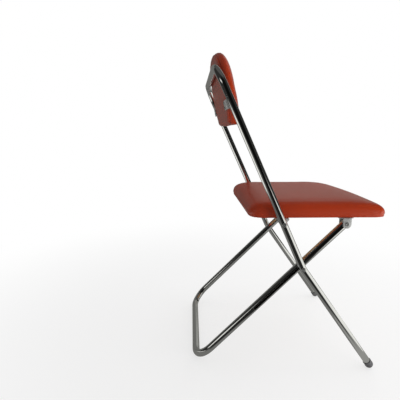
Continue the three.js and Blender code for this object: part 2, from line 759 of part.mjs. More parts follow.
// Backrest: board and foam in a sewn cover, whose two faces meet in a seam round the rim
function backrest() {
  const frame = new THREE.Group();
  frame.position.copy(backFoot);
  frame.rotation.x = Math.PI / 2 - backRake;
  chair.add(frame);
  const upright = inBackrest(at(uprightOffset, angleSeat.forward, angleSeat.up));
  const legFront = -touchGap;
  const legBack = legFront - plateThickness;
  const screwAcross = bracketOuterFace - angleReach + angleScrewInset;
  const screwHeadFace = legBack - touchGap;
  const screwTip = screwHeadFace + screwLength;
  const middle = angleHeight / 2;

  const fastenerHole = (across, up, low, high) => {
    const radius = screwRadius + holeClearance;
    const hole = new THREE.CylinderGeometry(radius, radius, high - low, screwFacets);
    hole.rotateX(Math.PI / 2);
    hole.translate(across, up, (low + high) / 2);
    return solid(hole);
  };
  const screwUps = [['upper', upright.y + middle / 2], ['lower', upright.y - middle / 2]];
  const screwHoles = sides.flatMap(([, side]) => screwUps.map(([, up]) =>
    fastenerHole(side * screwAcross, up, legBack - overrun, screwTip + overrun)));

  const filling = backForm(backCoverThickness + touchGap);
  const shell = cut(backForm(0), backForm(backCoverThickness), ...screwHoles);
  const boardLow = backCoverThickness + touchGap;
  const boardHigh = boardLow + backBoardThickness;
  const board = filling.intersect(slab(backOutline(0), 0, boardHigh));
  const above = slab(backOutline(0), boardHigh + touchGap, backHeadThickness + overrun);
  addPiece('backrest_board', surface(cut(board, ...screwHoles)), plywoodFinish(), frame);
  addPiece('backrest_foam', surface(filling.intersect(above)), foamFinish(), frame);
  addPiece('backrest_front_cover', surface(cut(shell, beyondSeam(-1))), leatheretteFinish(), frame);
  addPiece('backrest_rear_cover', surface(cut(shell, beyondSeam(1))), leatheretteFinish(), frame);

  // Each bracket has a leg behind the backrest and a leg along the inside of its upright
  const sideLegFront = upright.z + angleLip;
  const rivetHeadFace = bracketInnerFace - touchGap;
  const rivetEnd = uprightInnerFace + tubeWall + overrun;
  const rivetCrown = rivetHeadFace - screwHeadHeight;
  const rivet = [[0, rivetCrown], [screwHeadRadius * screwCrownShare, rivetCrown],
    [screwHeadRadius, rivetHeadFace], [screwRadius, rivetHeadFace], [screwRadius, rivetEnd],
    [0, rivetEnd]];
  for (const [name, side] of sides) {
    const inner = side * (bracketOuterFace - angleReach);
    const plan = new THREE.Shape();
    plan.moveTo(inner, legBack);
    plan.lineTo(side * bracketOuterFace, legBack);
    plan.lineTo(side * bracketOuterFace, sideLegFront);
    plan.lineTo(side * bracketInnerFace, sideLegFront);
    plan.lineTo(side * bracketInnerFace, legFront);
    plan.lineTo(inner, legFront);
    plan.closePath();
    const angle = new THREE.ExtrudeGeometry(plan, { depth: angleHeight, bevelEnabled: false });
    angle.rotateX(Math.PI / 2);
    angle.translate(0, upright.y + middle, 0);
    const holes = screwUps.map(([, up]) =>
      fastenerHole(side * screwAcross, up, legBack - overrun, legFront + overrun));
    const acrossHole = new THREE.CylinderGeometry(screwRadius + holeClearance,
      screwRadius + holeClearance, plateThickness + 2 * overrun, screwFacets);
    acrossHole.rotateZ(Math.PI / 2);
    acrossHole.translate(side * (bracketInnerFace + bracketOuterFace) / 2, upright.y, upright.z);
    addPiece(`backrest_bracket_${name}`, surface(cut(solid(angle), ...holes, solid(acrossHole))),
      zincFinish(), frame);
    addPiece(`backrest_rivet_${name}`, turnedAcross(rivet, side, screwFacets), zincFinish(), frame)
      .position.set(0, upright.y, upright.z);
    for (const [place, up] of screwUps) {
      addPiece(`backrest_screw_${place}_${name}`, screwGeometry(screwHeadFace), zincFinish(), frame)
        .position.set(side * screwAcross, up, 0);
    }
  }
}

uprightFrame();
legFrame();
footTips();
crossingPins();
rearPivots();
frontPivots();
rearBrackets();
frontClevises();
seatScrews();
seat();
backrest();

// The origin moves from the floor bar to the floor under the middle of the chair
chair.updateMatrixWorld(true);
const extent = new THREE.Box3().setFromObject(chair, true);
chair.position.y = -(extent.min.y + extent.max.y) / 2;

export default chair;
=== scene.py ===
"""Visible pieces, finishes and studio of a folding side chair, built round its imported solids.

Metres, +Z up. The chair faces -Y, and its left is +X. The side view is drawn in two measures:
forward of the floor bar, and up from the floor.
"""
import math
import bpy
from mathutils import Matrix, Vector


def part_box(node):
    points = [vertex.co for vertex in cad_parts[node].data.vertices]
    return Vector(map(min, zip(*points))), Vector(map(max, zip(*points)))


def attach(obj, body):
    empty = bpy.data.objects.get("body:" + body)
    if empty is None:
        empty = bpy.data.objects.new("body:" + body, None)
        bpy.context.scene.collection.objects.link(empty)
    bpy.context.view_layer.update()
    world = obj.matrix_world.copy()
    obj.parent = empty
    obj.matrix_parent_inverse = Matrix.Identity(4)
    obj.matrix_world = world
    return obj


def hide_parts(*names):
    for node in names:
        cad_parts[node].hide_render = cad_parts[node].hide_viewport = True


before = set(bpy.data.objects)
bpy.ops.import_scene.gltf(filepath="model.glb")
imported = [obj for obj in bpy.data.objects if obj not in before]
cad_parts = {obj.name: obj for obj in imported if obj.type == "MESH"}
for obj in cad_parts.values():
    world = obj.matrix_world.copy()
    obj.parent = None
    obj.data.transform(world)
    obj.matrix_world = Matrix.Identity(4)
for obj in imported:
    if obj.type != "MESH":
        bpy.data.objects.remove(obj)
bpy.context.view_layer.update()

from types import SimpleNamespace

import bmesh
import bpy
import numpy as np
from bpy.props import FloatProperty, FloatVectorProperty, IntProperty, PointerProperty
from mathutils import Matrix, Vector, noise

bl_info = {
    "name": "Folding side chair",
    "version": (1, 0, 0),
    "blender": (4, 5, 0),
    "location": "3D View > Sidebar > Chair",
    "description": "Builds the tubes, hardware, pads, finishes and studio of a folding side chair",
    "category": "Object",
}

MM = 0.001
ACROSS = Vector((1, 0, 0))
UP = Vector((0, 0, 1))
SIDES = (("left", 1), ("right", -1))
# What counts as lying on an edge or a ring
CLOSE = 0.1 * MM
# Points of one mesh closer than this are one point
MERGED = 1e-6
# Edges between faces that meet above these angles, in degrees, are softened
TURNED_EDGE, PLATE_EDGE = 30, 40


def middle_of(node):
    low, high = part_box(node)
    return (low + high) / 2


# The pins' centres in the side view, as the solids have them
CROSSING = middle_of("crossing_rivet_left")
REAR_PIVOT = middle_of("rear_pivot_rivet_left")
FRONT_PIVOT = middle_of("front_pivot_rivet_left")


def length(name, description, default):
    return FloatProperty(name=name, description=description, default=default * MM, unit="LENGTH",
                         precision=5)


def angle(name, description, default):
    return FloatProperty(name=name, description=description, default=math.radians(default),
                         subtype="ANGLE")


def share(name, description, default):
    return FloatProperty(name=name, description=description, default=default, subtype="FACTOR",
                         min=0, max=1)


def color(name, description, default):
    return FloatVectorProperty(name=name, description=description, default=default,
                               subtype="COLOR", size=3, min=0, max=1)


class ChairTubes(bpy.types.PropertyGroup):
    """Sizes of the two tube frames."""

    upright_diameter: length("Upright diameter", "Outer diameter of the upright tube", 18)
    leg_diameter: length("Leg diameter", "Outer diameter of the leg tube", 20)
    wall: length("Wall", "Thickness of the tube walls", 1.5)
    spacing: length("Upright spacing", "Distance between the uprights' centre lines", 410)
    top_height: length("Top bar height", "Height of the top bar's centre line", 765)
    top_bend: length("Top bend", "Radius of the bends at the top bar", 50)
    knee_bend: length("Knee bend", "Radius of the bends at the crossings", 70)
    leg_bend: length("Leg bend", "Radius of the bends at the floor bar", 56)
    upright_rake: angle("Upright rake", "Lean of the uprights above the crossings", 24.7)
    front_leg_rake: angle("Front leg rake", "Lean of the front legs", 35.5)
    crossing_forward: length("Crossing forward", "Crossing forward of the floor bar", 267.5)
    slot_above: length("Slot above", "End of the slot above the crossing pin", 9)
    slot_below: length("Slot below", "End of the slot below the crossing pin", 166)
    sides: IntProperty(name="Sides", description="Strips round a tube", default=72, min=36)


class ChairHardware(bpy.types.PropertyGroup):
    """Sizes of the rivets, washers, plates, screws and rubber tips."""

    touch_gap: length("Touch gap", "Gap between pieces that touch", 0.3)
    pivot_gap: length("Pivot gap", "Gap beside pieces that turn", 0.5)
    rivet_radius: length("Rivet radius", "Radius of the rivets' shanks", 3)
    head_radius: length("Rivet head radius", "Radius of the rivets' heads", 5.5)
    head_height: length("Rivet head height", "Height of the domed heads", 2)
    flat_height: length("Flat head height", "Height of the flat heads", 1.2)
    washer_radius: length("Washer radius", "Outer radius of the spacers", 7.5)
    plate: length("Plate", "Thickness of the plates", 2)
    fold_radius: length("Fold radius", "Outer radius of the plates' folds", 3)
    lug_radius: length("Lug radius", "Round end of the rear brackets", 7.5)
    bracket_length: length("Bracket length", "Length of the rear brackets' tops", 32)
    flange_width: length("Flange width", "Width of the rear brackets' tops", 26)
    clevis_length: length("Clevis length", "Length of the clevises' ears", 21)
    clevis_foot: length("Clevis foot", "Length of the clevises' tops", 38)
    screw_inset: length("Screw inset", "Screws from the ends of the plates", 6.5)
    screw_radius: length("Screw radius", "Radius of the screws' shanks", 1.6)
    screw_head: length("Screw head", "Radius of the screws' heads", 3.6)
    screw_head_height: length("Screw head height", "Height of the screws' heads", 1.8)
    screw_length: length("Screw length", "Length of the screws below the head", 9)
    tip_radius: length("Tip radius", "Outer radius of the rubber tips", 10.6)
    tip_sleeve: length("Tip sleeve", "Height of the tips' sleeves", 11)
    tip_bore: length("Tip bore", "Depth of the tips' bores past the ball's centre", 3)
    tip_flat: length("Tip flat", "Depth of the worn flat under the tips", 0.8)
    leg_past_pivot: length("Leg past pivot", "End of the legs past their pivots", 6.5)


class ChairPads(bpy.types.PropertyGroup):
    """Sizes of the seat and the backrest."""

    seat_underside: length("Seat underside", "Height of the seat's underside", 408)
    seat_rear: length("Seat rear edge", "Rear edge forward of the floor bar", 133)
    seat_depth: length("Seat depth", "Depth of the seat", 352)
    seat_gap: length("Seat gap", "Gap between the seat and an upright", 5)
    seat_thickness: length("Seat thickness", "Thickness at the crown", 44)
    seat_front_thickness: length("Front thickness", "Thickness at the front edge", 17)
    seat_front_crown: length("Front crown", "Rise of the front edge in its middle", 7)
    seat_rear_thickness: length("Rear thickness", "Thickness at the rear edge", 27)
    seat_front_slope: length("Front slope", "Depth over which the front falls", 120)
    seat_rear_slope: length("Rear slope", "Depth over which the rear falls", 75)
    seat_front_corner: length("Front corners", "Radius of the front corners in plan", 24)
    seat_rear_corner: length("Rear corners", "Radius of the rear corners in plan", 30)
    seat_bow: length("Front bow", "Bow of the front edge", 3)
    board: length("Seat board", "Thickness of the seat's board", 9)
    cover: length("Cover", "Thickness of the covers", 1.3)
    hem: length("Hem", "Width of the hem under the seat", 22)
    back_top: length("Back top", "Height of the top of the backrest", 820)
    back_bottom: length("Back bottom", "Height of the foot of the backrest", 638)
    back_rake: angle("Back rake", "Lean of the backrest", 11.7)
    back_gap: length("Back gap", "Gap between the backrest and an upright", 12)
    back_waist: share("Back waist", "Widest place as a share of the length", 0.34)
    back_fullness: FloatProperty(name="Arch fullness", default=2.55, min=1.5, max=6,
                                 description="Power of the arch, 2 is an ellipse")
    back_taper: length("Foot taper", "How much each side draws in at the foot", 30)
    back_corner: length("Bottom corners", "Radius of the bottom corners", 12)
    back_flare: angle("Bottom flare", "Lean of the sides above the corners", 15)
    back_foot_thickness: length("Foot thickness", "Thickness at the foot", 36)
    back_head_thickness: length("Head thickness", "Thickness at the head", 39)
    back_seam: share("Seam", "Seam from the rear, as a share of the thickness", 0.16)
    angle_height: length("Angle height", "Height of the angle brackets", 22)
    angle_above: length("Angle above foot", "Angle brackets above the backrest's foot", 46)
    angle_reach: length("Angle reach", "Reach of the angle brackets behind the backrest", 46)
    angle_lip: length("Angle lip", "Angle brackets past the uprights' centre lines", 7)
    angle_screw: length("Angle screws", "Screws from the end of the angle brackets", 9)
    mesh_size: length("Mesh size", "Size of the even mesh of the pads", 4.5)
    sewn_small: length("Sewn small", "How much smaller the pads start than they end", 1.0)
    least_swell: length("Least swell", "How far a free point of a pad moves at least", 0.8)
    most_swell: length("Most swell", "How far a point of a pad may move", 1.5)


class ChairColors(bpy.types.PropertyGroup):
    """Colours of the finishes."""

    chrome: color("Chrome", "Colour of the plated tubes", (0.78, 0.79, 0.80))
    bare_steel: color("Bare steel", "Colour inside the tubes", (0.05, 0.048, 0.045))
    zinc: color("Zinc", "Colour of the plates and fasteners", (0.62, 0.63, 0.62))
    rubber: color("Rubber", "Colour of the tips", (0.085, 0.085, 0.088))
    leatherette: color("Leatherette", "Colour of the covers", (0.40, 0.031, 0.002))
    plywood: color("Plywood", "Colour of the boards", (0.42, 0.25, 0.11))
    floor: color("Floor", "Colour of the floor", (0.93, 0.93, 0.93))


# Places that follow from the sizes

def side_view(across, forward, up, places):
    return Vector((across, places.origin_forward - forward, up))


def chair_places(scene):
    """The same derived places as the solids have, in metres."""
    tubes, hardware, pads = scene.chair_tubes, scene.chair_hardware, scene.chair_pads
    p = SimpleNamespace(tubes=tubes, hardware=hardware, pads=pads)
    p.origin_forward = CROSSING.y + tubes.crossing_forward
    p.upright_radius = tubes.upright_diameter / 2
    p.leg_radius = tubes.leg_diameter / 2
    p.upright_x = tubes.spacing / 2
    p.upright_inner = p.upright_x - p.upright_radius
    p.upright_outer = p.upright_x + p.upright_radius
    p.bracket_outer = p.upright_inner - hardware.pivot_gap
    p.bracket_inner = p.bracket_outer - hardware.plate
    p.leg_outer = (p.bracket_inner - hardware.touch_gap - hardware.flat_height
                   - hardware.pivot_gap)
    p.leg_x = p.leg_outer - p.leg_radius
    p.plate_top = pads.seat_underside - hardware.touch_gap
    p.plate_bottom = p.plate_top - hardware.plate
    p.leg_angle = math.atan2(CROSSING.z - p.leg_radius, tubes.crossing_forward)
    p.leg_run = Vector((0, -math.cos(p.leg_angle), math.sin(p.leg_angle)))
    p.seat_half = p.upright_inner - pads.seat_gap
    p.clevis_outer = p.leg_outer + hardware.pivot_gap + hardware.plate
    p.clevis_inner = p.leg_x - p.leg_radius - hardware.pivot_gap - hardware.plate
    p.top_bar = on_upright(tubes.top_height, p)
    backrest_places(p)
    return p


def on_upright(up, p):
    """The upright's centre line above the crossing, at a height, in the middle of the chair."""
    forward = p.tubes.crossing_forward - (up - CROSSING.z) * math.tan(p.tubes.upright_rake)
    return side_view(0, forward, up, p)


def on_front_leg(up, p):
    """The front leg's centre line below the crossing, at a height, in the middle of the chair."""
    forward = p.tubes.crossing_forward + (CROSSING.z - up) * math.tan(p.tubes.front_leg_rake)
    return side_view(0, forward, up, p)


def backrest_places(p):
    """The backrest's own directions: across, up the back, and forward of its rear plane."""
    pads, hardware = p.pads, p.hardware
    tilt = Vector((0, math.sin(pads.back_rake), math.cos(pads.back_rake)))
    facing = Vector((0, -math.cos(pads.back_rake), math.sin(pads.back_rake)))
    p.back_length = (pads.back_top - pads.back_bottom) / math.cos(pads.back_rake)
    on_plane = p.top_bar + facing * (p.upright_radius + hardware.touch_gap)
    foot = on_plane - tilt * ((on_plane.z - pads.back_bottom) / math.cos(pads.back_rake))
    turn = Matrix((ACROSS, tilt, facing)).transposed().to_4x4()
    p.back_frame = Matrix.Translation(foot) @ turn
    p.back_half = p.upright_inner - pads.back_gap
    p.waist = p.back_length * pads.back_waist
    seat_up = pads.back_bottom + pads.angle_above * math.cos(pads.back_rake)
    p.angle_seat = p.back_frame.inverted() @ (on_upright(seat_up, p) + ACROSS * p.upright_x)


# Mesh work that several pieces share

def kept_edges(result, key="geom"):
    return [item for item in result[key] if isinstance(item, bmesh.types.BMEdge)]


def verts_of(edges):
    return list(dict.fromkeys(v for e in edges for v in e.verts))


def push(bm, edges, offset):
    """Extrudes edges and moves the new ones, which are returned."""
    result = bmesh.ops.extrude_edge_only(bm, edges=edges)
    verts = {item for item in result["geom"] if isinstance(item, bmesh.types.BMVert)}
    bmesh.ops.translate(bm, vec=offset, verts=list(verts))
    return [e for e in kept_edges(result) if verts.issuperset(e.verts)]


def swing(bm, edges, centre, axis, turn, steps):
    """Spins edges round an axis and returns the last ones."""
    result = bmesh.ops.spin(bm, geom=[*verts_of(edges), *edges], cent=centre, axis=axis,
                            angle=turn, steps=steps, use_merge=False, use_duplicate=False)
    return kept_edges(result, "geom_last")


def sliced(bm, point, normal, **options):
    """Cuts a mesh with a plane and returns the new edges."""
    cut = bmesh.ops.bisect_plane(bm, geom=bm.verts[:] + bm.edges[:] + bm.faces[:],
                                 plane_co=point, plane_no=normal, **options)
    return kept_edges(cut, "geom_cut")


def in_middle(place):
    return Vector((0, place.y, place.z))


def placed(name, data):
    """A new object in the scene."""
    item = bpy.data.objects.new(name, data)
    bpy.context.scene.collection.objects.link(item)
    return item


def capped(bm, rim):
    """Closes a cut with a face."""
    bmesh.ops.contextual_create(bm, geom=rim)
    bmesh.ops.recalc_face_normals(bm, faces=bm.faces)


def round_off(bm, items, width, segments, affect):
    bmesh.ops.bevel(bm, geom=items, offset=width, offset_type="OFFSET", segments=segments,
                    profile=0.5, affect=affect, clamp_overlap=True, material=-1)


def spun(profile, steps):
    """A face of revolution round +Z from (radius, along) pairs."""
    bm = bmesh.new()
    verts = [bm.verts.new((radius, 0, along)) for radius, along in profile]
    edges = [bm.edges.new(pair) for pair in zip(verts, verts[1:])]
    bmesh.ops.spin(bm, geom=verts + edges, cent=(0, 0, 0), axis=UP, angle=math.tau, steps=steps,
                   use_merge=True, use_duplicate=False)
    return bm


def turned(profile, steps, softness=0.0):
    """A turned solid round +Z from (radius, along) pairs."""
    bm = spun(profile, steps)
    bmesh.ops.remove_doubles(bm, verts=bm.verts, dist=MERGED)
    bmesh.ops.recalc_face_normals(bm, faces=bm.faces)
    if softness:
        sharp = [e for e in bm.edges if len(e.link_faces) == 2
                 and e.calc_face_angle(0) > math.radians(TURNED_EDGE)]
        round_off(bm, sharp, softness, 2, "EDGES")
    return bm


def to_side(bm, side):
    """Mirrors a mesh that is made for the left side where it is for the right."""
    if side < 0:
        bmesh.ops.transform(bm, matrix=Matrix.Scale(-1, 4, ACROSS), verts=bm.verts)


def outwards(side):
    """Turns +Z to the outside of the chair on one side."""
    return Matrix.Rotation(side * math.pi / 2, 4, "Y")


def moved(bm, matrix):
    bmesh.ops.transform(bm, matrix=matrix, verts=bm.verts)
    return bm


def face_way(bm, probe, direction):
    """Makes the windings agree, with the face nearest to a point looking in a direction."""
    bmesh.ops.recalc_face_normals(bm, faces=bm.faces)
    bm.normal_update()
    nearest = min(bm.faces, key=lambda f: (f.calc_center_median() - probe).length)
    if nearest.normal.dot(direction) < 0:
        bmesh.ops.reverse_faces(bm, faces=bm.faces)


def build(name, bm, finishes, body, nodes, smooth_below=38):
    """Makes a finished piece: its mesh, finishes, body and the solids it stands for."""
    mesh = bpy.data.meshes.new(name)
    for face in bm.faces:
        face.smooth = True
    bm.to_mesh(mesh)
    bm.free()
    if not mesh.polygons:
        raise RuntimeError(f"{name} has no faces")
    mesh.set_sharp_from_angle(angle=math.radians(smooth_below))
    piece = placed(name, mesh)
    for finish in finishes:
        mesh.materials.append(FINISHES[finish])
    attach(piece, body)
    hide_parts(*nodes)
    return piece


def fasten(name, bm, place, body, node):
    """Makes a rivet, a spacer or a screw."""
    build(name, moved(bm, place), ["fastener"], body, [node])


def thicken(piece, wall, inner_material=0, rim=0.0):
    """Gives a sheet its wall, inwards from the modelled face, and softens its rims."""
    solidify = piece.modifiers.new("wall", "SOLIDIFY")
    solidify.thickness = wall
    solidify.offset = -1
    solidify.use_even_offset = True
    solidify.material_offset = inner_material
    if rim:
        bevel = piece.modifiers.new("rim", "BEVEL")
        bevel.width = rim
        bevel.segments = 2
        bevel.limit_method = "ANGLE"
        bevel.angle_limit = math.radians(PLATE_EDGE)


# Shader nodes

def feed(tree, node, values):
    """Links or sets a node's inputs."""
    for socket, value in values.items():
        target = node.inputs[socket]
        if isinstance(value, bpy.types.NodeSocket):
            tree.links.new(value, target)
        elif target.type == "RGBA":
            target.default_value = (*value[:3], 1)
        else:
            target.default_value = value


def add_node(tree, kind, values=None, **settings):
    """Adds a node, sets its properties, and sets or links its inputs."""
    node = tree.nodes.new(kind)
    for key, value in settings.items():
        setattr(node, key, value)
    feed(tree, node, values or {})
    return node


def arithmetic(tree, operation, a, b=0.0, c=0.0):
    return add_node(tree, "ShaderNodeMath", {0: a, 1: b, 2: c}, operation=operation).outputs[0]


def times(tree, a, b, plus=None):
    if plus is None:
        return arithmetic(tree, "MULTIPLY", a, b)
    return arithmetic(tree, "MULTIPLY_ADD", a, b, plus)


def remap(tree, value, low, high, to_low=0.0, to_high=1.0, smooth=True):
    return add_node(tree, "ShaderNodeMapRange",
                    {"Value": value, "From Min": low, "From Max": high, "To Min": to_low,
                     "To Max": to_high},
                    interpolation_type="SMOOTHSTEP" if smooth else "LINEAR").outputs["Result"]


def noise_value(tree, position, scale, detail, roughness=0.5):
    return add_node(tree, "ShaderNodeTexNoise",
                    {"Vector": position, "Scale": scale, "Detail": detail,
                     "Roughness": roughness}).outputs[0]


def stretched(tree, position, scale, turn=(0, 0, 0)):
    return add_node(tree, "ShaderNodeMapping",
                    {"Vector": position, "Rotation": turn, "Scale": scale}).outputs["Vector"]


def mixed(tree, factor, a, b, blend="MIX"):
    return add_node(tree, "ShaderNodeMix", {0: factor, 6: a, 7: b}, data_type="RGBA",
                    blend_type=blend).outputs[2]


def scaled(base, factor):
    return tuple(min(1.0, c * factor) for c in base[:3])


def bumped(tree, height, distance, strength=1.0):
    return add_node(tree, "ShaderNodeBump", {"Height": height, "Distance": distance,
                                             "Strength": strength}).outputs["Normal"]


# Node groups for effects that several finishes share. Noise scales are in cells per metre.

def shader_group(name, inputs, outputs):
    """A new node group. An input without a default is a place, all other sockets are numbers."""
    tree = bpy.data.node_groups.new(name, "ShaderNodeTree")
    for socket, default in inputs.items():
        kind = "NodeSocketVector" if default is None else "NodeSocketFloat"
        made = tree.interface.new_socket(name=socket, in_out="INPUT", socket_type=kind)
        if default is not None:
            made.default_value = default
    for socket in outputs:
        tree.interface.new_socket(name=socket, in_out="OUTPUT", socket_type="NodeSocketFloat")
    return tree, tree.nodes.new("NodeGroupInput").outputs, tree.nodes.new("NodeGroupOutput")


def grain_group():
    """Pebbled leatherette grain: a height for the bump, and a mask of its valleys."""
    tree, given, leave = shader_group("pebble_grain", {"Position": None, "Scale": 900.0},
                                      ("Height", "Valleys"))
    position, scale = given["Position"], given["Scale"]
    warp = add_node(tree, "ShaderNodeTexNoise",
                    {"Vector": position, "Scale": times(tree, scale, 0.6), "Detail": 2.0})
    bent = add_node(tree, "ShaderNodeMix",
                    {"Factor": 0.0006, "A": position, "B": warp.outputs["Color"]},
                    data_type="VECTOR")
    cells = add_node(tree, "ShaderNodeTexVoronoi",
                     {"Vector": bent.outputs["Result"], "Scale": scale},
                     feature="DISTANCE_TO_EDGE")
    pebble = remap(tree, cells.outputs["Distance"], 0.0, 0.28)
    fine = noise_value(tree, position, times(tree, scale, 2.6), 3.0, 0.6)
    feed(tree, leave, {"Height": times(tree, fine, 0.3, pebble),
                       "Valleys": arithmetic(tree, "SUBTRACT", 1.0, pebble)})
    return tree


def mottle_group():
    """Broad unevenness of a colour or a gloss, from 0 to 1."""
    tree, given, leave = shader_group("mottle", {"Position": None, "Scale": 12.0}, ("Value",))
    cloud = noise_value(tree, given["Position"], given["Scale"], 5.0, 0.55)
    feed(tree, leave, {"Value": remap(tree, cloud, 0.3, 0.7)})
    return tree


def scratch_group():
    """Fine hairline marks, as the thin contour lines of stretched noises."""
    tree, given, leave = shader_group("hairlines",
                                      {"Position": None, "Scale": 20.0, "Width": 0.006},
                                      ("Marks",))
    layers = []
    for turn, stretch in (((0.3, 0.2, 0.1), (1, 6, 1)), ((1.1, 0.4, 2.0), (7, 1, 1.5))):
        field = noise_value(tree, stretched(tree, given["Position"], stretch, turn),
                            given["Scale"], 2.0, 0.5)
        away = arithmetic(tree, "ABSOLUTE", arithmetic(tree, "SUBTRACT", field, 0.5))
        layers.append(remap(tree, away, 0.0, given["Width"], 1.0, 0.0, smooth=False))
    patches = remap(tree, noise_value(tree, given["Position"], 9.0, 2.0), 0.48, 0.62)
    feed(tree, leave, {"Marks": times(tree, arithmetic(tree, "MAXIMUM", *layers), patches)})
    return tree


def dust_group():
    """A thin film that settles low on a piece, broken up by noise."""
    tree, given, leave = shader_group("settled_dust", {"Position": None, "Low": 0.0, "High": 0.02},
                                      ("Mask",))
    height = add_node(tree, "ShaderNodeSeparateXYZ", {"Vector": given["Position"]}).outputs["Z"]
    fall = remap(tree, height, given["Low"], given["High"], 1.0, 0.0, smooth=False)
    broken = remap(tree, noise_value(tree, given["Position"], 160.0, 5.0, 0.6), 0.35, 0.7)
    feed(tree, leave, {"Mask": times(tree, fall, broken)})
    return tree


GROUP_MAKERS = {"pebble_grain": grain_group, "mottle": mottle_group, "hairlines": scratch_group,
                "settled_dust": dust_group}


def shared(tree, name, **values):
    """The outputs of a shared effect, which is made on its first use."""
    group = bpy.data.node_groups.get(name) or GROUP_MAKERS[name]()
    return add_node(tree, "ShaderNodeGroup", values, node_tree=group).outputs


def mottle(tree, position, scale):
    return shared(tree, "mottle", Position=position, Scale=scale)["Value"]


def hairlines(tree, position, scale, width):
    return shared(tree, "hairlines", Position=position, Scale=scale, Width=width)["Marks"]


# Finishes

def started_material(name):
    """A material with its tree, its shader and the position on the piece."""
    material = bpy.data.materials.new(name)
    material.use_nodes = True
    tree = material.node_tree
    position = tree.nodes.new("ShaderNodeTexCoord").outputs["Object"]
    return material, tree, tree.nodes["Principled BSDF"], position


def chrome_finish(base):
    """Bright plate with faint smudges, hairlines and a few dull specks."""
    material, tree, shader, position = started_material("bright_chrome")
    smudge = mottle(tree, position, 14.0)
    marks = hairlines(tree, position, 30.0, 0.004)
    specks = remap(tree, noise_value(tree, position, 700.0, 2.0), 0.72, 0.78)
    dulled = remap(tree, noise_value(tree, position, 38.0, 4.0), 0.62, 0.8)
    tint = mixed(tree, times(tree, specks, dulled), base, scaled(base, 0.5))
    feed(tree, shader, {
        "Base Color": mixed(tree, times(tree, smudge, 0.12), tint, scaled(base, 0.9)),
        "Roughness": times(tree, marks, 0.12, times(tree, smudge, 0.035, 0.05)),
        "Metallic": 1.0,
        "Normal": bumped(tree, noise_value(tree, position, 55.0, 2.0), 0.00004)})
    return material


def bare_steel_finish(base):
    """Unplated wall inside the tubes: dark, rough, with light rust."""
    material, tree, shader, position = started_material("bare_steel")
    rust = mottle(tree, position, 90.0)
    feed(tree, shader, {
        "Base Color": mixed(tree, times(tree, rust, 0.5), base, (0.06, 0.028, 0.012)),
        "Roughness": times(tree, rust, 0.25, 0.5),
        "Metallic": 0.4,
        "Normal": bumped(tree, rust, 0.0001)})
    return material


def zinc_finish(name, base, roughness, dirt, metallic):
    """Dull zinc plate with a cloudy tone, tool marks and a fine mottle of dirt."""
    material, tree, shader, position = started_material(name)
    cloud = mottle(tree, position, 110.0)
    broad = mottle(tree, position, 420.0)
    marks = hairlines(tree, position, 120.0, 0.012)
    tone = mixed(tree, cloud, scaled(base, 0.8), scaled(base, 1.12))
    tone = mixed(tree, times(tree, broad, dirt), tone, (0.10, 0.085, 0.065))
    feed(tree, shader, {
        "Base Color": mixed(tree, times(tree, marks, 0.4), tone, scaled(base, 1.4)),
        "Roughness": times(tree, cloud, 0.14, roughness),
        "Metallic": metallic,
        "Normal": bumped(tree, arithmetic(tree, "ADD", broad, marks), 0.00003)})
    return material


def rubber_finish(base):
    """Moulded rubber with a fine matt skin, scuffed and dusty near the floor."""
    material, tree, shader, position = started_material("moulded_rubber")
    skin = noise_value(tree, position, 1800.0, 4.0, 0.6)
    scuff = mottle(tree, position, 240.0)
    dust = shared(tree, "settled_dust", Position=position, Low=0.0, High=0.012)["Mask"]
    tone = mixed(tree, times(tree, scuff, 0.5), base, scaled(base, 2.2))
    feed(tree, shader, {
        "Base Color": mixed(tree, times(tree, dust, 0.55), tone, (0.16, 0.145, 0.12)),
        "Roughness": times(tree, scuff, 0.2, 0.55),
        "Normal": bumped(tree, skin, 0.00012)})
    return material


def leatherette_finish(base):
    """Pebbled coated cloth with painted shade in its valleys, rubbed paler where the pads round
    over.
    """
    material, tree, shader, position = started_material("orange_leatherette")
    grain = shared(tree, "pebble_grain", Position=position, Scale=850.0)
    broad = mottle(tree, position, 7.0)
    close = mottle(tree, position, 60.0)
    marks = hairlines(tree, position, 26.0, 0.003)
    rubbed = add_node(tree, "ShaderNodeAttribute", attribute_name="rubbed").outputs["Fac"]
    patchy = remap(tree, noise_value(tree, position, 45.0, 5.0, 0.6), 0.35, 0.65)
    worn = times(tree, rubbed, patchy)
    tone = mixed(tree, broad, scaled(base, 0.93), scaled(base, 1.06))
    tone = mixed(tree, times(tree, close, 0.10), tone, scaled(base, 0.72))
    # Painted shade: the grain's valleys are drawn darker, down to half the colour
    tone = mixed(tree, times(tree, grain["Valleys"], 0.45), tone, scaled(base, 0.5))
    paler = (min(1, base[0] * 1.12), base[1] * 2.2, base[2] * 4)
    tone = mixed(tree, times(tree, worn, 0.18), tone, paler)
    rough = times(tree, grain["Valleys"], 0.14, times(tree, close, 0.06, 0.28))
    feed(tree, shader, {
        "Base Color": mixed(tree, times(tree, marks, 0.12), tone, paler),
        "Roughness": times(tree, worn, -0.08, rough),
        "Specular IOR Level": 0.3, "Coat Weight": 0.35, "Coat Roughness": 0.25,
        "Normal": bumped(tree, grain["Height"], 0.00010, 0.7)})
    return material


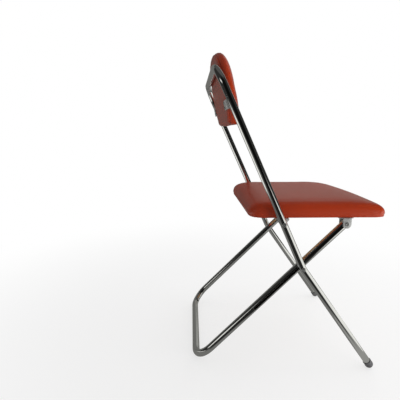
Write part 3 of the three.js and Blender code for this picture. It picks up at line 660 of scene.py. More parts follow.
def plywood_finish(base):
    """Rotary-cut birch face: long wavy figure, fine pores and a few darker streaks."""
    material, tree, shader, position = started_material("birch_plywood")
    figure = add_node(tree, "ShaderNodeTexWave",
                      {"Vector": stretched(tree, position, (1.0, 0.14, 1.0)), "Scale": 26.0,
                       "Distortion": 9.0, "Detail": 3.0, "Detail Scale": 1.6}).outputs["Fac"]
    pores = noise_value(tree, stretched(tree, position, (1.0, 0.03, 1.0)), 1500.0, 2.0)
    tone = mixed(tree, figure, scaled(base, 0.78), scaled(base, 1.15))
    streak = remap(tree, pores, 0.55, 0.75)
    feed(tree, shader, {
        "Base Color": mixed(tree, times(tree, streak, 0.5), tone, scaled(base, 0.45)),
        "Roughness": times(tree, figure, 0.12, 0.62),
        "Normal": bumped(tree, pores, 0.00008)})
    return material


FINISHES = {}


def make_finishes(colors):
    FINISHES.update(
        chrome=chrome_finish(colors.chrome),
        bare_steel=bare_steel_finish(colors.bare_steel),
        plate=zinc_finish("zinc_plate", colors.zinc, 0.5, 0.22, 0.5),
        fastener=zinc_finish("zinc_fastener", scaled(colors.zinc, 1.1), 0.26, 0.18, 0.9),
        rubber=rubber_finish(colors.rubber),
        leatherette=leatherette_finish(colors.leatherette),
        plywood=plywood_finish(colors.plywood))


# Bent tubes

# The extra ring beside each cut end
END_RING = 0.8 * MM
# The longest strip of a straight run, and the least distance between two of its rings
LONGEST_STRIP = 60 * MM
RING_SPACING = 8 * MM
# Turn per ring of a bend, in degrees
BEND_STEP = 3.75
# Half the slot's width as an angle round the leg, in degrees
SLOT_REACH = 20


def across_both(half, x):
    """A run on the left side and its mirror image on the right, joined in the middle."""
    left = [place + ACROSS * x for place in half]
    return left + [place - ACROSS * x for place in reversed(half)]


def first_ring(bm, tubes, radius, centre, heading, outward):
    """A ring whose strips are numbered from the tube's outer side."""
    line = bm.verts.layers.int.new("line")
    ring = bmesh.ops.create_circle(bm, cap_ends=False, radius=radius, segments=tubes.sides)
    for number, vert in enumerate(ring["verts"]):
        vert[line] = number if number <= tubes.sides // 2 else number - tubes.sides
    turn = Matrix((outward.cross(heading), outward, heading)).transposed().to_4x4()
    bmesh.ops.transform(bm, matrix=Matrix.Translation(centre) @ turn, verts=ring["verts"])
    return list(dict.fromkeys(e for v in ring["verts"] for e in v.link_edges))


def straight_run(bm, ring, start, end, stops):
    """Extrudes a ring from one point to another, with rings between them and at the stops."""
    whole = (end - start).length
    way = (end - start).normalized()
    steps = max(1, math.ceil(whole / LONGEST_STRIP))
    marks = {round(whole * k / steps, 6) for k in range(1, steps + 1)}
    for stop in stops:
        along = (stop - start).dot(way)
        if MM < along < whole - MM and ((stop - start) - way * along).length < MM:
            marks = {m for m in marks
                     if abs(m - along) > RING_SPACING or m > whole - MM} | {along}
    done = 0.0
    for mark in sorted(marks):
        ring = push(bm, ring, way * (mark - done))
        done = mark
    return ring


def bent_tube(tubes, radius, corners, bends, stops=()):
    """The outer skin of a tube along straight runs whose corners are rounded.

    A ring close to each end keeps the shading of the cut end off the long strips.
    """
    bm = bmesh.new()
    into = (corners[1] - corners[0]).normalized()
    ring = first_ring(bm, tubes, radius, corners[0], into, ACROSS)
    ring = push(bm, ring, into * END_RING)
    position = corners[0] + into * END_RING
    for corner, following, bend in zip(corners[1:], corners[2:], bends):
        out = (following - corner).normalized()
        turn = into.angle(out)
        setback = bend * math.tan(turn / 2)
        start = corner - into * setback
        ring = straight_run(bm, ring, position, start, stops)
        axis = into.cross(out).normalized()
        ring = swing(bm, ring, start + axis.cross(into) * bend, axis, turn,
                     max(4, round(math.degrees(turn) / BEND_STEP)))
        position, into = corner + out * setback, out
    ring = straight_run(bm, ring, position, corners[-1] - into * END_RING, stops)
    push(bm, ring, into * END_RING)
    bmesh.ops.remove_doubles(bm, verts=bm.verts, dist=MERGED)
    first = min((f.calc_center_median() for f in bm.faces), key=lambda c: (c - corners[0]).length)
    face_way(bm, first, first - corners[0])
    return bm


def cut_slot(bm, tubes, radius, upper, lower):
    """Opens a slot with round ends on the outer side of a straight run, between two rings."""
    line = bm.verts.layers.int.get("line")
    reach = round(SLOT_REACH / (360 / tubes.sides))
    half_width = radius * math.sin(math.radians(reach * 360 / tubes.sides))
    way = (upper - lower).normalized()
    whole = (upper - lower).length
    near = {}
    for vert in bm.verts:
        offset = vert.co - lower
        along = offset.dot(way)
        beside = (offset - way * along).length
        if (abs(vert[line]) <= reach and -CLOSE < along < whole + CLOSE
                and beside < radius * 1.1):
            near[vert] = along
    faces = [f for f in bm.faces if all(v in near for v in f.verts)]
    for vert, along in near.items():
        if min(along, whole - along) > CLOSE:
            continue
        side_step = radius * math.sin(math.radians(vert[line] * 360 / tubes.sides))
        round_end = math.sqrt(max(0.0, half_width ** 2 - side_step ** 2))
        vert.co += way * (round_end if along > whole / 2 else -round_end)
    bmesh.ops.delete(bm, geom=faces, context="FACES")


class CHAIR_OT_upright_tube(bpy.types.Operator):
    """Bends the tube of the front legs, the uprights and the top bar"""

    bl_idname = "chair.upright_tube"
    bl_label = "Upright tube"

    def execute(self, context):
        p = chair_places(context.scene)
        hardware, tubes = p.hardware, p.tubes
        tip_up = hardware.tip_radius - hardware.tip_flat
        end_up = tip_up - (hardware.tip_bore - hardware.touch_gap) * math.cos(tubes.front_leg_rake)
        half = [on_front_leg(end_up, p), on_front_leg(CROSSING.z, p), p.top_bar]
        bends = [tubes.knee_bend, tubes.top_bend, tubes.top_bend, tubes.knee_bend]
        skin = bent_tube(tubes, p.upright_radius, across_both(half, p.upright_x), bends)
        piece = build("upright_tube", skin, ["chrome", "bare_steel"], "frame",
                      ["upright_frame"])
        thicken(piece, tubes.wall, inner_material=1)
        return {"FINISHED"}


class CHAIR_OT_leg_tube(bpy.types.Operator):
    """Bends the tube of the rear legs and the floor bar, with a slot in each leg"""

    bl_idname = "chair.leg_tube"
    bl_label = "Leg tube"

    def execute(self, context):
        p = chair_places(context.scene)
        tubes = p.tubes
        end = in_middle(FRONT_PIVOT) + p.leg_run * p.hardware.leg_past_pivot
        corners = across_both([end, side_view(0, 0, p.leg_radius, p)], p.leg_x)
        round_end = p.leg_radius * math.sin(math.radians(SLOT_REACH))
        pin = in_middle(CROSSING)
        upper = pin + p.leg_run * (tubes.slot_above - round_end)
        lower = pin - p.leg_run * (tubes.slot_below - round_end)
        stops = [place + ACROSS * x for x in (p.leg_x, -p.leg_x) for place in (upper, lower)]
        skin = bent_tube(tubes, p.leg_radius, corners, [tubes.leg_bend] * 2, stops)
        for x in (p.leg_x, -p.leg_x):
            cut_slot(skin, tubes, p.leg_radius, upper + ACROSS * x, lower + ACROSS * x)
        piece = build("leg_tube", skin, ["chrome", "bare_steel"], "legs", ["leg_frame"])
        thicken(piece, tubes.wall, inner_material=1, rim=CUT_RIM)
        return {"FINISHED"}


# Turned pieces

# How far the edges of the tips, the hinge and crossing rivets, and the small rivets are softened
TIP_SOFTNESS, RIVET_SOFTNESS, SMALL_SOFTNESS = 0.25 * MM, 0.22 * MM, 0.15 * MM
# Height of the bead round the mouth of a tip
TIP_BEAD = 0.5 * MM
ROUND_STEPS = 14
# How far a small rivet reaches past the tube's wall
RIVET_TAIL = 2 * MM
# A domed head: the powers that round it off, and the flat on its crown as a share of its radius
DOME_OUT, DOME_UP = 0.9, 0.8
DOME_STEPS = 10
STRUCK_FLAT = 0.16
# A screw's head: its brim and its dome as shares of its height, the power that rounds it, the
# recess as a share of its radius, and how far the recess's arms reach
BRIM, PAN, PAN_ROUND = 0.22, 0.765, 0.7
RECESS, RECESS_ARM = 0.2, 1.7


def dome(radius, height, face):
    """Points from a head's rim to its crown, with a small flat where the tool struck."""
    points = [(radius, face)]
    for k in range(1, DOME_STEPS + 1):
        turn = math.pi / 2 * k / DOME_STEPS
        points.append((radius * math.cos(turn) ** DOME_OUT,
                       face + height * math.sin(turn) ** DOME_UP))
    flat = radius * STRUCK_FLAT
    points = [point for point in points if point[0] > flat * 1.5]
    return points + [(flat * 1.3, face + height * 0.98), (flat, face + height * 0.86),
                     (0, face + height * 0.84)]


class CHAIR_OT_foot_tips(bpy.types.Operator):
    """Moulds the two rubber tips, round below with a worn flat"""

    bl_idname = "chair.foot_tips"
    bl_label = "Foot tips"

    def execute(self, context):
        p = chair_places(context.scene)
        hardware = p.hardware
        radius, sleeve = hardware.tip_radius, p.upright_radius + hardware.touch_gap
        turns = [math.pi / 2 * k / ROUND_STEPS for k in range(ROUND_STEPS + 1)]
        profile = [(radius * math.sin(turn), -radius * math.cos(turn)) for turn in turns]
        top, bead = hardware.tip_sleeve, TIP_BEAD
        profile += [(radius - bead * 0.5, top * 0.35), (radius - bead * 0.5, top - 2.6 * bead),
                    (radius, top - 1.9 * bead), (radius, top - 0.7 * bead),
                    (radius - bead * 0.6, top), (sleeve, top), (sleeve, -hardware.tip_bore),
                    (0, -hardware.tip_bore)]
        centre = on_front_leg(radius - hardware.tip_flat, p)
        for name, side in SIDES:
            tip = turned(profile, 56, TIP_SOFTNESS)
            place = Matrix.Translation(centre + ACROSS * side * p.upright_x)
            moved(tip, place @ Matrix.Rotation(-p.tubes.front_leg_rake, 4, "X"))
            worn = sliced(tip, (0, 0, 0), -UP, clear_outer=True)
            capped(tip, worn)
            build(f"rubber_tip_{name}", tip, ["rubber"], "frame", [f"foot_tip_{name}"])
        return {"FINISHED"}


class CHAIR_OT_rivets(bpy.types.Operator):
    """Turns the crossing pins, their spacers, and the rivets of the seat's pivots"""

    bl_idname = "chair.rivets"
    bl_label = "Rivets and spacers"

    def execute(self, context):
        p = chair_places(context.scene)
        hardware = p.hardware
        radius, head = hardware.rivet_radius, hardware.head_radius
        gap, flat, washer = hardware.touch_gap, hardware.flat_height, hardware.washer_radius
        outer_face = p.upright_outer + gap
        pin_end = p.leg_outer + hardware.pivot_gap
        domed = [(radius, outer_face)] + dome(head, hardware.head_height, outer_face)
        crossing_pin = [(0, pin_end), (radius, pin_end)] + domed
        bore, spacer_end = radius + gap, p.upright_inner - gap
        spacer = [(bore, pin_end), (washer, pin_end), (washer, spacer_end), (bore, spacer_end),
                  (bore, pin_end)]
        flat_face = p.bracket_inner - gap
        rear = [(0, flat_face - flat), (head, flat_face - flat), (head, flat_face),
                (radius, flat_face)] + domed
        inner = p.clevis_inner - gap
        outer = p.clevis_outer + gap
        dish, floor = radius * 0.6, outer - hardware.plate
        front = [(0, inner - flat), (head, inner - flat), (head, inner), (radius, inner),
                 (radius, outer), (head, outer), (head * 0.9, outer + flat),
                 (dish, outer + flat), (dish, floor), (0, floor)]
        jobs = (("crossing_pin", crossing_pin, CROSSING, "frame", "crossing_rivet"),
                ("crossing_spacer", spacer, CROSSING, "frame", "crossing_washer"),
                ("rear_hinge_rivet", rear, REAR_PIVOT, "frame", "rear_pivot_rivet"),
                ("front_hinge_rivet", front, FRONT_PIVOT, "seat", "front_pivot_rivet"))
        for label, profile, pivot, body, node in jobs:
            for name, side in SIDES:
                place = Matrix.Translation(in_middle(pivot)) @ outwards(side)
                fasten(f"{label}_{name}", turned(profile, 48, RIVET_SOFTNESS), place, body,
                       f"{node}_{name}")
        return {"FINISHED"}


def screw_body(hardware):
    """A pan-head screw that points up, with a cross recess in its head and a pointed shank."""
    head, height = hardware.screw_head, hardware.screw_head_height
    shank, reach = hardware.screw_radius, hardware.screw_length
    recess = RECESS * head
    profile = [(0, -height * 0.35), (recess, -height * 0.4), (recess * 1.25, -height * 0.985)]
    for k in range(1, 9):
        turn = math.pi / 2 * k / 8
        profile.append((recess * 1.25 + (head - recess * 1.25) * math.sin(turn),
                        -height * (BRIM + PAN * math.cos(turn) ** PAN_ROUND)))
    profile += [(head, 0), (shank, 0), (shank, reach - 2.5 * shank), (0, reach)]
    screw = turned(profile, 32)
    for vert in screw.verts:
        out = math.hypot(vert.co.x, vert.co.y)
        if 0.5 * recess < out < 1.4 * recess and vert.co.z < 0:
            around = math.atan2(vert.co.y, vert.co.x)
            arm = 1 + RECESS_ARM * max(0.0, math.cos(4 * around)) ** 3
            vert.co.x *= arm
            vert.co.y *= arm
    return screw


class CHAIR_OT_screws(bpy.types.Operator):
    """Sets the screws under the seat and behind the backrest, and the backrest's rivets"""

    bl_idname = "chair.screws"
    bl_label = "Screws"

    def execute(self, context):
        p = chair_places(context.scene)
        hardware = p.hardware
        flange_x = p.bracket_outer - hardware.flange_width / 2 - hardware.plate
        head_face = p.plate_bottom - hardware.touch_gap
        for name, side in SIDES:
            for end, way in (("front", -1), ("rear", 1)):
                rows = (("rear_bracket_screw", flange_x, REAR_PIVOT.y, hardware.bracket_length),
                        ("clevis_screw", p.leg_x, FRONT_PIVOT.y, hardware.clevis_foot))
                for label, x, y, span in rows:
                    step = way * (span / 2 - hardware.screw_inset)
                    # Each recess stops at a turn of its own
                    turn = Matrix.Rotation(0.7 * step / MM + side, 4, "Z")
                    place = Matrix.Translation((side * x, y + step, head_face))
                    fasten(f"{label}_new_{end}_{name}", screw_body(hardware), place @ turn,
                           "seat", f"{label}_{end}_{name}")
            self.back_fasteners(p, name, side)
        return {"FINISHED"}

    def back_fasteners(self, p, name, side):
        hardware, pads = p.hardware, p.pads
        leg_back = -hardware.touch_gap - hardware.plate
        across = p.bracket_outer - pads.angle_reach + pads.angle_screw
        for label, way in (("upper", 1), ("lower", -1)):
            up = p.angle_seat.y + way * pads.angle_height / 4
            place = Matrix.Translation((side * across, up, leg_back - hardware.touch_gap))
            turn = Matrix.Rotation(0.6 * way + side, 4, "Z")
            fasten(f"back_screw_{label}_{name}", screw_body(hardware),
                   p.back_frame @ place @ turn, "frame", f"backrest_screw_{label}_{name}")
        face = p.bracket_inner - hardware.touch_gap
        inside = p.upright_inner + p.tubes.wall + RIVET_TAIL
        profile = [(r, 2 * face - a) for r, a in reversed(dome(
            hardware.screw_head, hardware.screw_head_height, face))]
        profile += [(hardware.screw_radius, face), (hardware.screw_radius, inside), (0, inside)]
        place = Matrix.Translation(in_middle(p.angle_seat))
        fasten(f"back_rivet_{name}", turned(profile, 36, SMALL_SOFTNESS),
               p.back_frame @ place @ outwards(side), "frame", f"backrest_rivet_{name}")


# Folded plates

# Softened edge of the plates and of the slots
CUT_RIM = 0.3 * MM
# Radii of the plates' free corners
FLANGE_CORNER, TAB_CORNER = 4 * MM, 5 * MM
CORNER_STEPS = 5
# Width of a clevis's tab at its end, as a share of its width at the ears
TAB_TAPER = 0.66
FOLD_STEPS = 6
EAR_STEPS = 20


def plate_ear(bm, x, pivot, radius, half_top, top):
    """An ear in the side view: a round end on the pivot and flanks up to its top edge."""
    rise = top - pivot.z
    reach = math.hypot(half_top, rise)
    flank = math.acos(min(1, radius / reach)) + math.atan2(half_top, rise)
    centre = Vector((x, pivot.y, pivot.z))
    start = bm.verts.new(centre + Matrix.Rotation(flank, 3, "X") @ Vector((0, 0, radius)))
    bmesh.ops.spin(bm, geom=[start], cent=centre, axis=ACROSS, angle=math.tau - 2 * flank,
                   steps=EAR_STEPS, use_merge=False, use_duplicate=False)
    ends = [v for v in bm.verts if len(v.link_edges) == 1]
    ends.sort(key=lambda v: v.co.y)
    low = bm.verts.new((x, pivot.y - half_top, top))
    high = bm.verts.new((x, pivot.y + half_top, top))
    bm.edges.new((ends[0], low))
    bm.edges.new((ends[1], high))
    crest = bm.edges.new((low, high))
    bmesh.ops.contextual_create(bm, geom=bm.edges[:])
    return crest


class CHAIR_OT_brackets(bpy.types.Operator):
    """Folds the seat's rear brackets and front clevises and the backrest's angle brackets"""

    bl_idname = "chair.brackets"
    bl_label = "Brackets"

    def execute(self, context):
        p = chair_places(context.scene)
        for name, side in SIDES:
            self.rear_bracket(p, name, side)
            self.clevis(p, name, side)
            self.angle_bracket(p, name, side)
        return {"FINISHED"}

    def rear_bracket(self, p, name, side):
        hardware = p.hardware
        fold, half = hardware.fold_radius, hardware.bracket_length / 2
        bm = bmesh.new()
        crest = plate_ear(bm, p.bracket_outer, REAR_PIVOT, hardware.lug_radius, half,
                          p.plate_top - fold)
        centre = Vector((p.bracket_outer - fold, REAR_PIVOT.y, p.plate_top - fold))
        last = swing(bm, [crest], centre, (0, -1, 0), math.pi / 2, FOLD_STEPS)
        last = push(bm, last, Vector((fold - hardware.flange_width, 0, 0)))
        round_off(bm, verts_of(last), FLANGE_CORNER, CORNER_STEPS, "VERTICES")
        self.finish_plate(bm, f"rear_hinge_bracket_{name}", side, p, f"seat_rear_bracket_{name}")

    def clevis(self, p, name, side):
        hardware = p.hardware
        fold, half = hardware.fold_radius, hardware.clevis_length / 2
        middle = (p.clevis_outer + p.clevis_inner) / 2
        bm = bmesh.new()
        crest = plate_ear(bm, p.clevis_outer - middle, FRONT_PIVOT, half, half,
                          p.plate_top - fold)
        centre = Vector((p.clevis_outer - middle - fold, FRONT_PIVOT.y, p.plate_top - fold))
        last = swing(bm, [crest], centre, (0, -1, 0), math.pi / 2, FOLD_STEPS)
        last = push(bm, last, Vector((fold - (p.clevis_outer - middle), 0, 0)))
        bmesh.ops.mirror(bm, geom=bm.verts[:] + bm.edges[:] + bm.faces[:], matrix=Matrix(),
                         merge_dist=0.01 * MM, axis="X")
        bmesh.ops.remove_doubles(bm, verts=bm.verts, dist=0.01 * MM)
        near_top = p.plate_top - MM / 100
        for way in (-1, 1):
            side_edges = [e for e in bm.edges if e.is_boundary and all(
                v.co.z > near_top and (v.co.y - FRONT_PIVOT.y) * way > half - CLOSE
                for v in e.verts)]
            tab = push(bm, side_edges,
                       Vector((0, way * (hardware.clevis_foot / 2 - half), 0)))
            ends = [v for v in verts_of(tab) if len(v.link_faces) == 1]
            for vert in verts_of(tab):
                vert.co.x *= TAB_TAPER
            round_off(bm, ends, TAB_CORNER, CORNER_STEPS, "VERTICES")
        moved(bm, Matrix.Translation((middle, 0, 0)))
        self.finish_plate(bm, f"front_clevis_{name}", side, p, f"seat_front_clevis_{name}")

    def finish_plate(self, bm, label, side, p, node):
        to_side(bm, side)
        top = max(bm.faces, key=lambda f: f.calc_center_median().z)
        face_way(bm, top.calc_center_median(), UP)
        piece = build(label, bm, ["plate"], "seat", [node])
        thicken(piece, p.hardware.plate, rim=CUT_RIM)

    def angle_bracket(self, p, name, side):
        hardware, pads = p.hardware, p.pads
        fold, half = hardware.fold_radius, pads.angle_height / 2
        rear = -hardware.touch_gap - hardware.plate
        inner = p.bracket_outer - pads.angle_reach
        bm = bmesh.new()
        low = bm.verts.new((inner, p.angle_seat.y - half, rear))
        high = bm.verts.new((inner, p.angle_seat.y + half, rear))
        edge = bm.edges.new((low, high))
        last = push(bm, [edge], Vector((pads.angle_reach - fold, 0, 0)))
        centre = Vector((p.bracket_outer - fold, p.angle_seat.y, rear + fold))
        last = swing(bm, last, centre, (0, -1, 0), math.pi / 2, FOLD_STEPS)
        last = push(bm, last, Vector((0, 0, p.angle_seat.z + pads.angle_lip - rear - fold)))
        round_off(bm, [low, high, *verts_of(last)], TAB_CORNER, CORNER_STEPS, "VERTICES")
        to_side(bm, side)
        face_way(bm, Vector((side * (inner + fold), p.angle_seat.y, rear)), Vector((0, 0, -1)))
        moved(bm, p.back_frame)
        piece = build(f"back_angle_{name}", bm, ["plate"], "frame",
                      [f"backrest_bracket_{name}"])
        thicken(piece, hardware.plate, rim=CUT_RIM)


# Padded pieces

# Outer lines of the pads from the middle of the flat face to the crown, as (out, up) shares
SEAT_PROFILE = [(0, 0), (0.5, 0), (0.94, 0), (0.965, 0.004), (0.985, 0.07), (0.998, 0.25),
                (1, 0.42), (0.99, 0.62), (0.965, 0.79), (0.915, 0.89), (0.82, 0.945),
                (0.64, 0.98), (0.36, 0.995), (0, 1)]
BACK_PROFILE = [(0, 0), (0.5, 0), (0.88, 0), (0.905, 0.004), (0.945, 0.04), (0.978, 0.12),
                (1, 0.38), (0.982, 0.56), (0.93, 0.71), (0.84, 0.83), (0.66, 0.93),
                (0.38, 0.985), (0, 1)]
# Points this close above a board stay where they are while the pad swells
SEAT_HELD, BACK_HELD = 1.5 * MM, 1.0 * MM
# The droop of the foot: none this near to the middle, how fast it sets in towards the foot, and
# how much more of it the corners have
DROOP_FREE, DROOP_RISE, DROOP_CORNERS = 40 * MM, 2.4, 0.5
ARCH_STEPS, CURVE_STEPS, EASE_STEPS, PAD_STEPS = 48, 16, 6, 128


def eased(points):
    """A smooth line through points, without overshooting them much."""
    out = []
    count = len(points)
    for i in range(count - 1):
        a, b = points[max(0, i - 1)], points[i]
        c, d = points[i + 1], points[min(count - 1, i + 2)]
        flat = b[1] == c[1] == 0
        for k in range(EASE_STEPS):
            t = k / EASE_STEPS
            if flat:
                out.append((b[0] + (c[0] - b[0]) * t, 0.0))
                continue
            value = []
            for j in (0, 1):
                value.append(0.5 * (2 * b[j] + (c[j] - a[j]) * t
                                    + (2 * a[j] - 5 * b[j] + 4 * c[j] - d[j]) * t * t
                                    + (3 * b[j] - a[j] - 3 * c[j] + d[j]) * t ** 3))
            out.append((max(0.0, value[0]), min(1.0, max(0.0, value[1]))))
    return out + [points[-1]]


def arc(centre, radius, start, end):
    turns = [start + (end - start) * k / CURVE_STEPS for k in range(CURVE_STEPS + 1)]
    return [(centre[0] + radius * math.cos(turn), centre[1] + radius * math.sin(turn))
            for turn in turns]


def curve_through(start, control, end):
    return [tuple((1 - t) ** 2 * a + 2 * t * (1 - t) * b + t * t * c
                  for a, b, c in zip(start, control, end))
            for t in (k / CURVE_STEPS for k in range(CURVE_STEPS + 1))]


def seat_fullness(way):
    """How much fuller than its profile the seat's edge is: most at the front."""
    return 0.4 * max(0, -math.sin(way)) ** 2


def back_fullness(way):
    """How much fuller than its profile the backrest's edge is: most round its foot."""
    return 0.6 * min(1, max(0, 0.25 - 1.6 * math.sin(way)))


def seat_outline(p):
    """Half outline in plan, from the middle of the rear edge to the middle of the front."""
    pads, half = p.pads, p.seat_half
    rear = p.origin_forward - pads.seat_rear
    front = rear - pads.seat_depth
    shoulder = front + pads.seat_bow
    back, nose = pads.seat_rear_corner, pads.seat_front_corner
    points = [(0, rear)] + arc((half - back, rear - back), back, math.pi / 2, 0)
    points += arc((half - nose, shoulder + nose), nose, 0, -math.pi / 2)
    return points + curve_through((half - nose, shoulder), (half * 0.4, front), (0, front))


def back_outline(p):
    """Half outline in the backrest's plane, from the middle of its foot to its top."""
    pads, half, waist = p.pads, p.back_half, p.waist
    corner = min(pads.back_corner, waist * 0.7)
    foot = half - pads.back_taper
    points = [(0, 0)] + arc((foot - corner, corner), corner, -math.pi / 2, -pads.back_flare)
    points += curve_through(points[-1], (half, corner + (waist - corner) / 2), (half, waist))
    rise = p.back_length - waist
    for k in range(1, ARCH_STEPS + 1):
        turn = math.pi / 2 * k / ARCH_STEPS
        points.append((half * max(0.0, math.cos(turn)) ** (2 / pads.back_fullness),
                       waist + rise * math.sin(turn) ** (2 / pads.back_fullness)))
    return points


def rim_reach(half_points, centre, inset):
    """How far the rim lies from a centre, as a function of the direction."""
    points = half_points + [(-x, y) for x, y in reversed(half_points)]
    spaced = []
    for (ax, ay), (bx, by) in zip(points, points[1:]):
        steps = max(1, int(math.hypot(bx - ax, by - ay) / (2 * MM)))
        spaced += [(ax + (bx - ax) * k / steps, ay + (by - ay) * k / steps)
                   for k in range(steps)]
    away = np.array(spaced) - np.array(centre)
    directions = np.arctan2(away[:, 1], away[:, 0])
    distances = np.hypot(away[:, 0], away[:, 1]) - inset
    order = np.argsort(directions)
    directions, distances = directions[order], distances[order]
    return lambda way: float(np.interp(way, directions, distances, period=math.tau))


def pad_form(profile, reach, centre, thickness_at, base, inset, fullness_at, droop):
    """A closed padded form: a turned profile drawn out to the rim and the local thickness."""
    bm = turned(eased(profile), PAD_STEPS)
    for vert in bm.verts:
        way = math.atan2(vert.co.y, vert.co.x)
        out = math.hypot(vert.co.x, vert.co.y)
        out = 1 - (1 - out) * (1 - fullness_at(way))
        out *= reach(way)
        x, y = centre[0] + out * math.cos(way), centre[1] + out * math.sin(way)
        up = (thickness_at(x, y) - inset) * vert.co.z
        low = min(1, max(0, -DROOP_RISE * math.sin(way))) * min(1, out / DROOP_FREE)
        low *= 1 + DROOP_CORNERS * min(1, abs(2 * math.cos(way))) if up > 0 else 1
        vert.co = (x, y - droop * up * low, base + up)
    return bm


def rounded_fall(distance, over):
    part = min(1, max(0, distance / over))
    return 1 - math.sqrt(1 - part * part)


def even_mesh(bm, size):
    """An evenly meshed copy of a closed form, as a loose object."""
    mesh = bpy.data.meshes.new("pad_start")
    bm.to_mesh(mesh)
    bm.free()
    holder = placed("pad_start", mesh)
    remesh = holder.modifiers.new("even", "REMESH")
    remesh.mode = "VOXEL"
    remesh.voxel_size = size
    graph = bpy.context.evaluated_depsgraph_get()
    even = bpy.data.meshes.new_from_object(holder.evaluated_get(graph))
    holder.modifiers.clear()
    holder.data = even
    bpy.data.meshes.remove(mesh)
    return holder


def per_vertex(mesh, key="co"):
    flat = np.zeros(len(mesh.vertices) * 3, np.float32)
    mesh.vertices.foreach_get(key, flat)
    return flat.reshape(-1, 3).astype(float)


def evened_out(mesh, steps):
    """Averages each point's step with its neighbours', so that only broad swelling stays."""
    ends = np.zeros(len(mesh.edges) * 2, np.int32)
    mesh.edges.foreach_get("vertices", ends)
    ends = ends.reshape(-1, 2)
    count = np.bincount(ends.ravel(), minlength=len(steps))[:, None] + 1
    for _ in range(EVENING_PASSES):
        total = steps.copy()
        np.add.at(total, ends[:, 0], steps[ends[:, 1]])
        np.add.at(total, ends[:, 1], steps[ends[:, 0]])
        steps = total / count
    return steps


# The cover as cloth that the pad's foam presses outwards
CLOTH = {"quality": 5, "mass": 0.3, "tension_stiffness": 40, "compression_stiffness": 40,
         "bending_stiffness": 4, "use_pressure": True, "uniform_pressure_force": 4,
         "vertex_group_mass": "held"}
CLOTH_FRAMES = 20
EVENING_PASSES = 3


def swell(holder, held, least, most):
    """Blows a pad up against its cover and limits how far each free point moves outwards."""
    scene = bpy.context.scene
    start = per_vertex(holder.data)
    kept = held(start)
    group = holder.vertex_groups.new(name="held")
    group.add([int(i) for i in np.nonzero(kept)[0]], 1.0, "REPLACE")
    cloth = holder.modifiers.new("cover", "CLOTH")
    for key, value in CLOTH.items():
        setattr(cloth.settings, key, value)
    cloth.settings.effector_weights.gravity = 0
    cloth.collision_settings.use_collision = False
    cloth.point_cache.frame_start = 1
    cloth.point_cache.frame_end = CLOTH_FRAMES
    for step in range(1, CLOTH_FRAMES + 1):
        scene.frame_set(step)
    graph = bpy.context.evaluated_depsgraph_get()
    blown = per_vertex(holder.evaluated_get(graph).data)
    step_out = evened_out(holder.data, blown - start)
    far = np.linalg.norm(step_out, axis=1, keepdims=True)
    step_out *= most * np.tanh(far / most) / np.maximum(far, 1e-9)
    outward = per_vertex(holder.data, "normal")
    along = np.sum(step_out * outward, axis=1, keepdims=True)
    step_out += outward * np.maximum(0, least - along)
    limited = start + np.where(kept[:, None], 0, step_out)
    holder.modifiers.clear()
    holder.vertex_groups.clear()
    holder.data.vertices.foreach_set("co", limited.astype(np.float32).ravel())
    holder.data.update()
    scene.frame_set(1)


def taken_over(holder):
    """The holder's mesh for more work, with the holder gone."""
    bm = bmesh.new()
    bm.from_mesh(holder.data)
    mesh = holder.data
    bpy.data.objects.remove(holder)
    bpy.data.meshes.remove(mesh)
    return bm


def rub_edges(piece, amount_at):
    """Stores where a cover is rubbed, from 0 to 1, for its finish."""
    rubbed = piece.data.attributes.new("rubbed", "FLOAT", "POINT")
    rubbed.data.foreach_set("value", [amount_at(vert) for vert in piece.data.vertices])


def sewn_pad(pads, profile, outline, centre, thickness_at, base, held_below, fullness_at,
             droop=0.0):
    """The swollen mesh of a pad, whose points below a height stay where they are."""
    small = pads.sewn_small
    reach = rim_reach(outline, centre, small)
    form = pad_form(profile, reach, centre, thickness_at, base, small, fullness_at, droop)
    holder = even_mesh(form, pads.mesh_size)
    swell(holder, lambda co: co[:, 2] < held_below, pads.least_swell, pads.most_swell)
    return taken_over(holder)


def subdivide_once(piece):
    level = piece.modifiers.new("smooth", "SUBSURF")
    level.levels = 1
    level.render_levels = 1


# The hem under the seat: where the pad is cut open, the rings that turn the cover under, as
# (inward, up) in mm, and what its two ends and the pocket for the board take off its width
HEM_CUT = 4 * MM
HEM_TURN = [(-0.4, 2.4), (0.0, 1.1), (0.5, 0.35), (0.9, 0.0), (1.5, 0.0)]
HEM_ENDS, POCKET_EDGE = 7 * MM, 10 * MM
# The gathers: their centres from the seat's edges, height, depth, and phase per radian
GATHER_INSET, GATHER_HEIGHT, GATHER_DEPTH, GATHERS = 26 * MM, 20 * MM, 0.35 * MM, 17
# How far they go on past their corner, and how near to its centre there are none
GATHER_PAST, GATHER_FREE = 4 * MM, 14 * MM


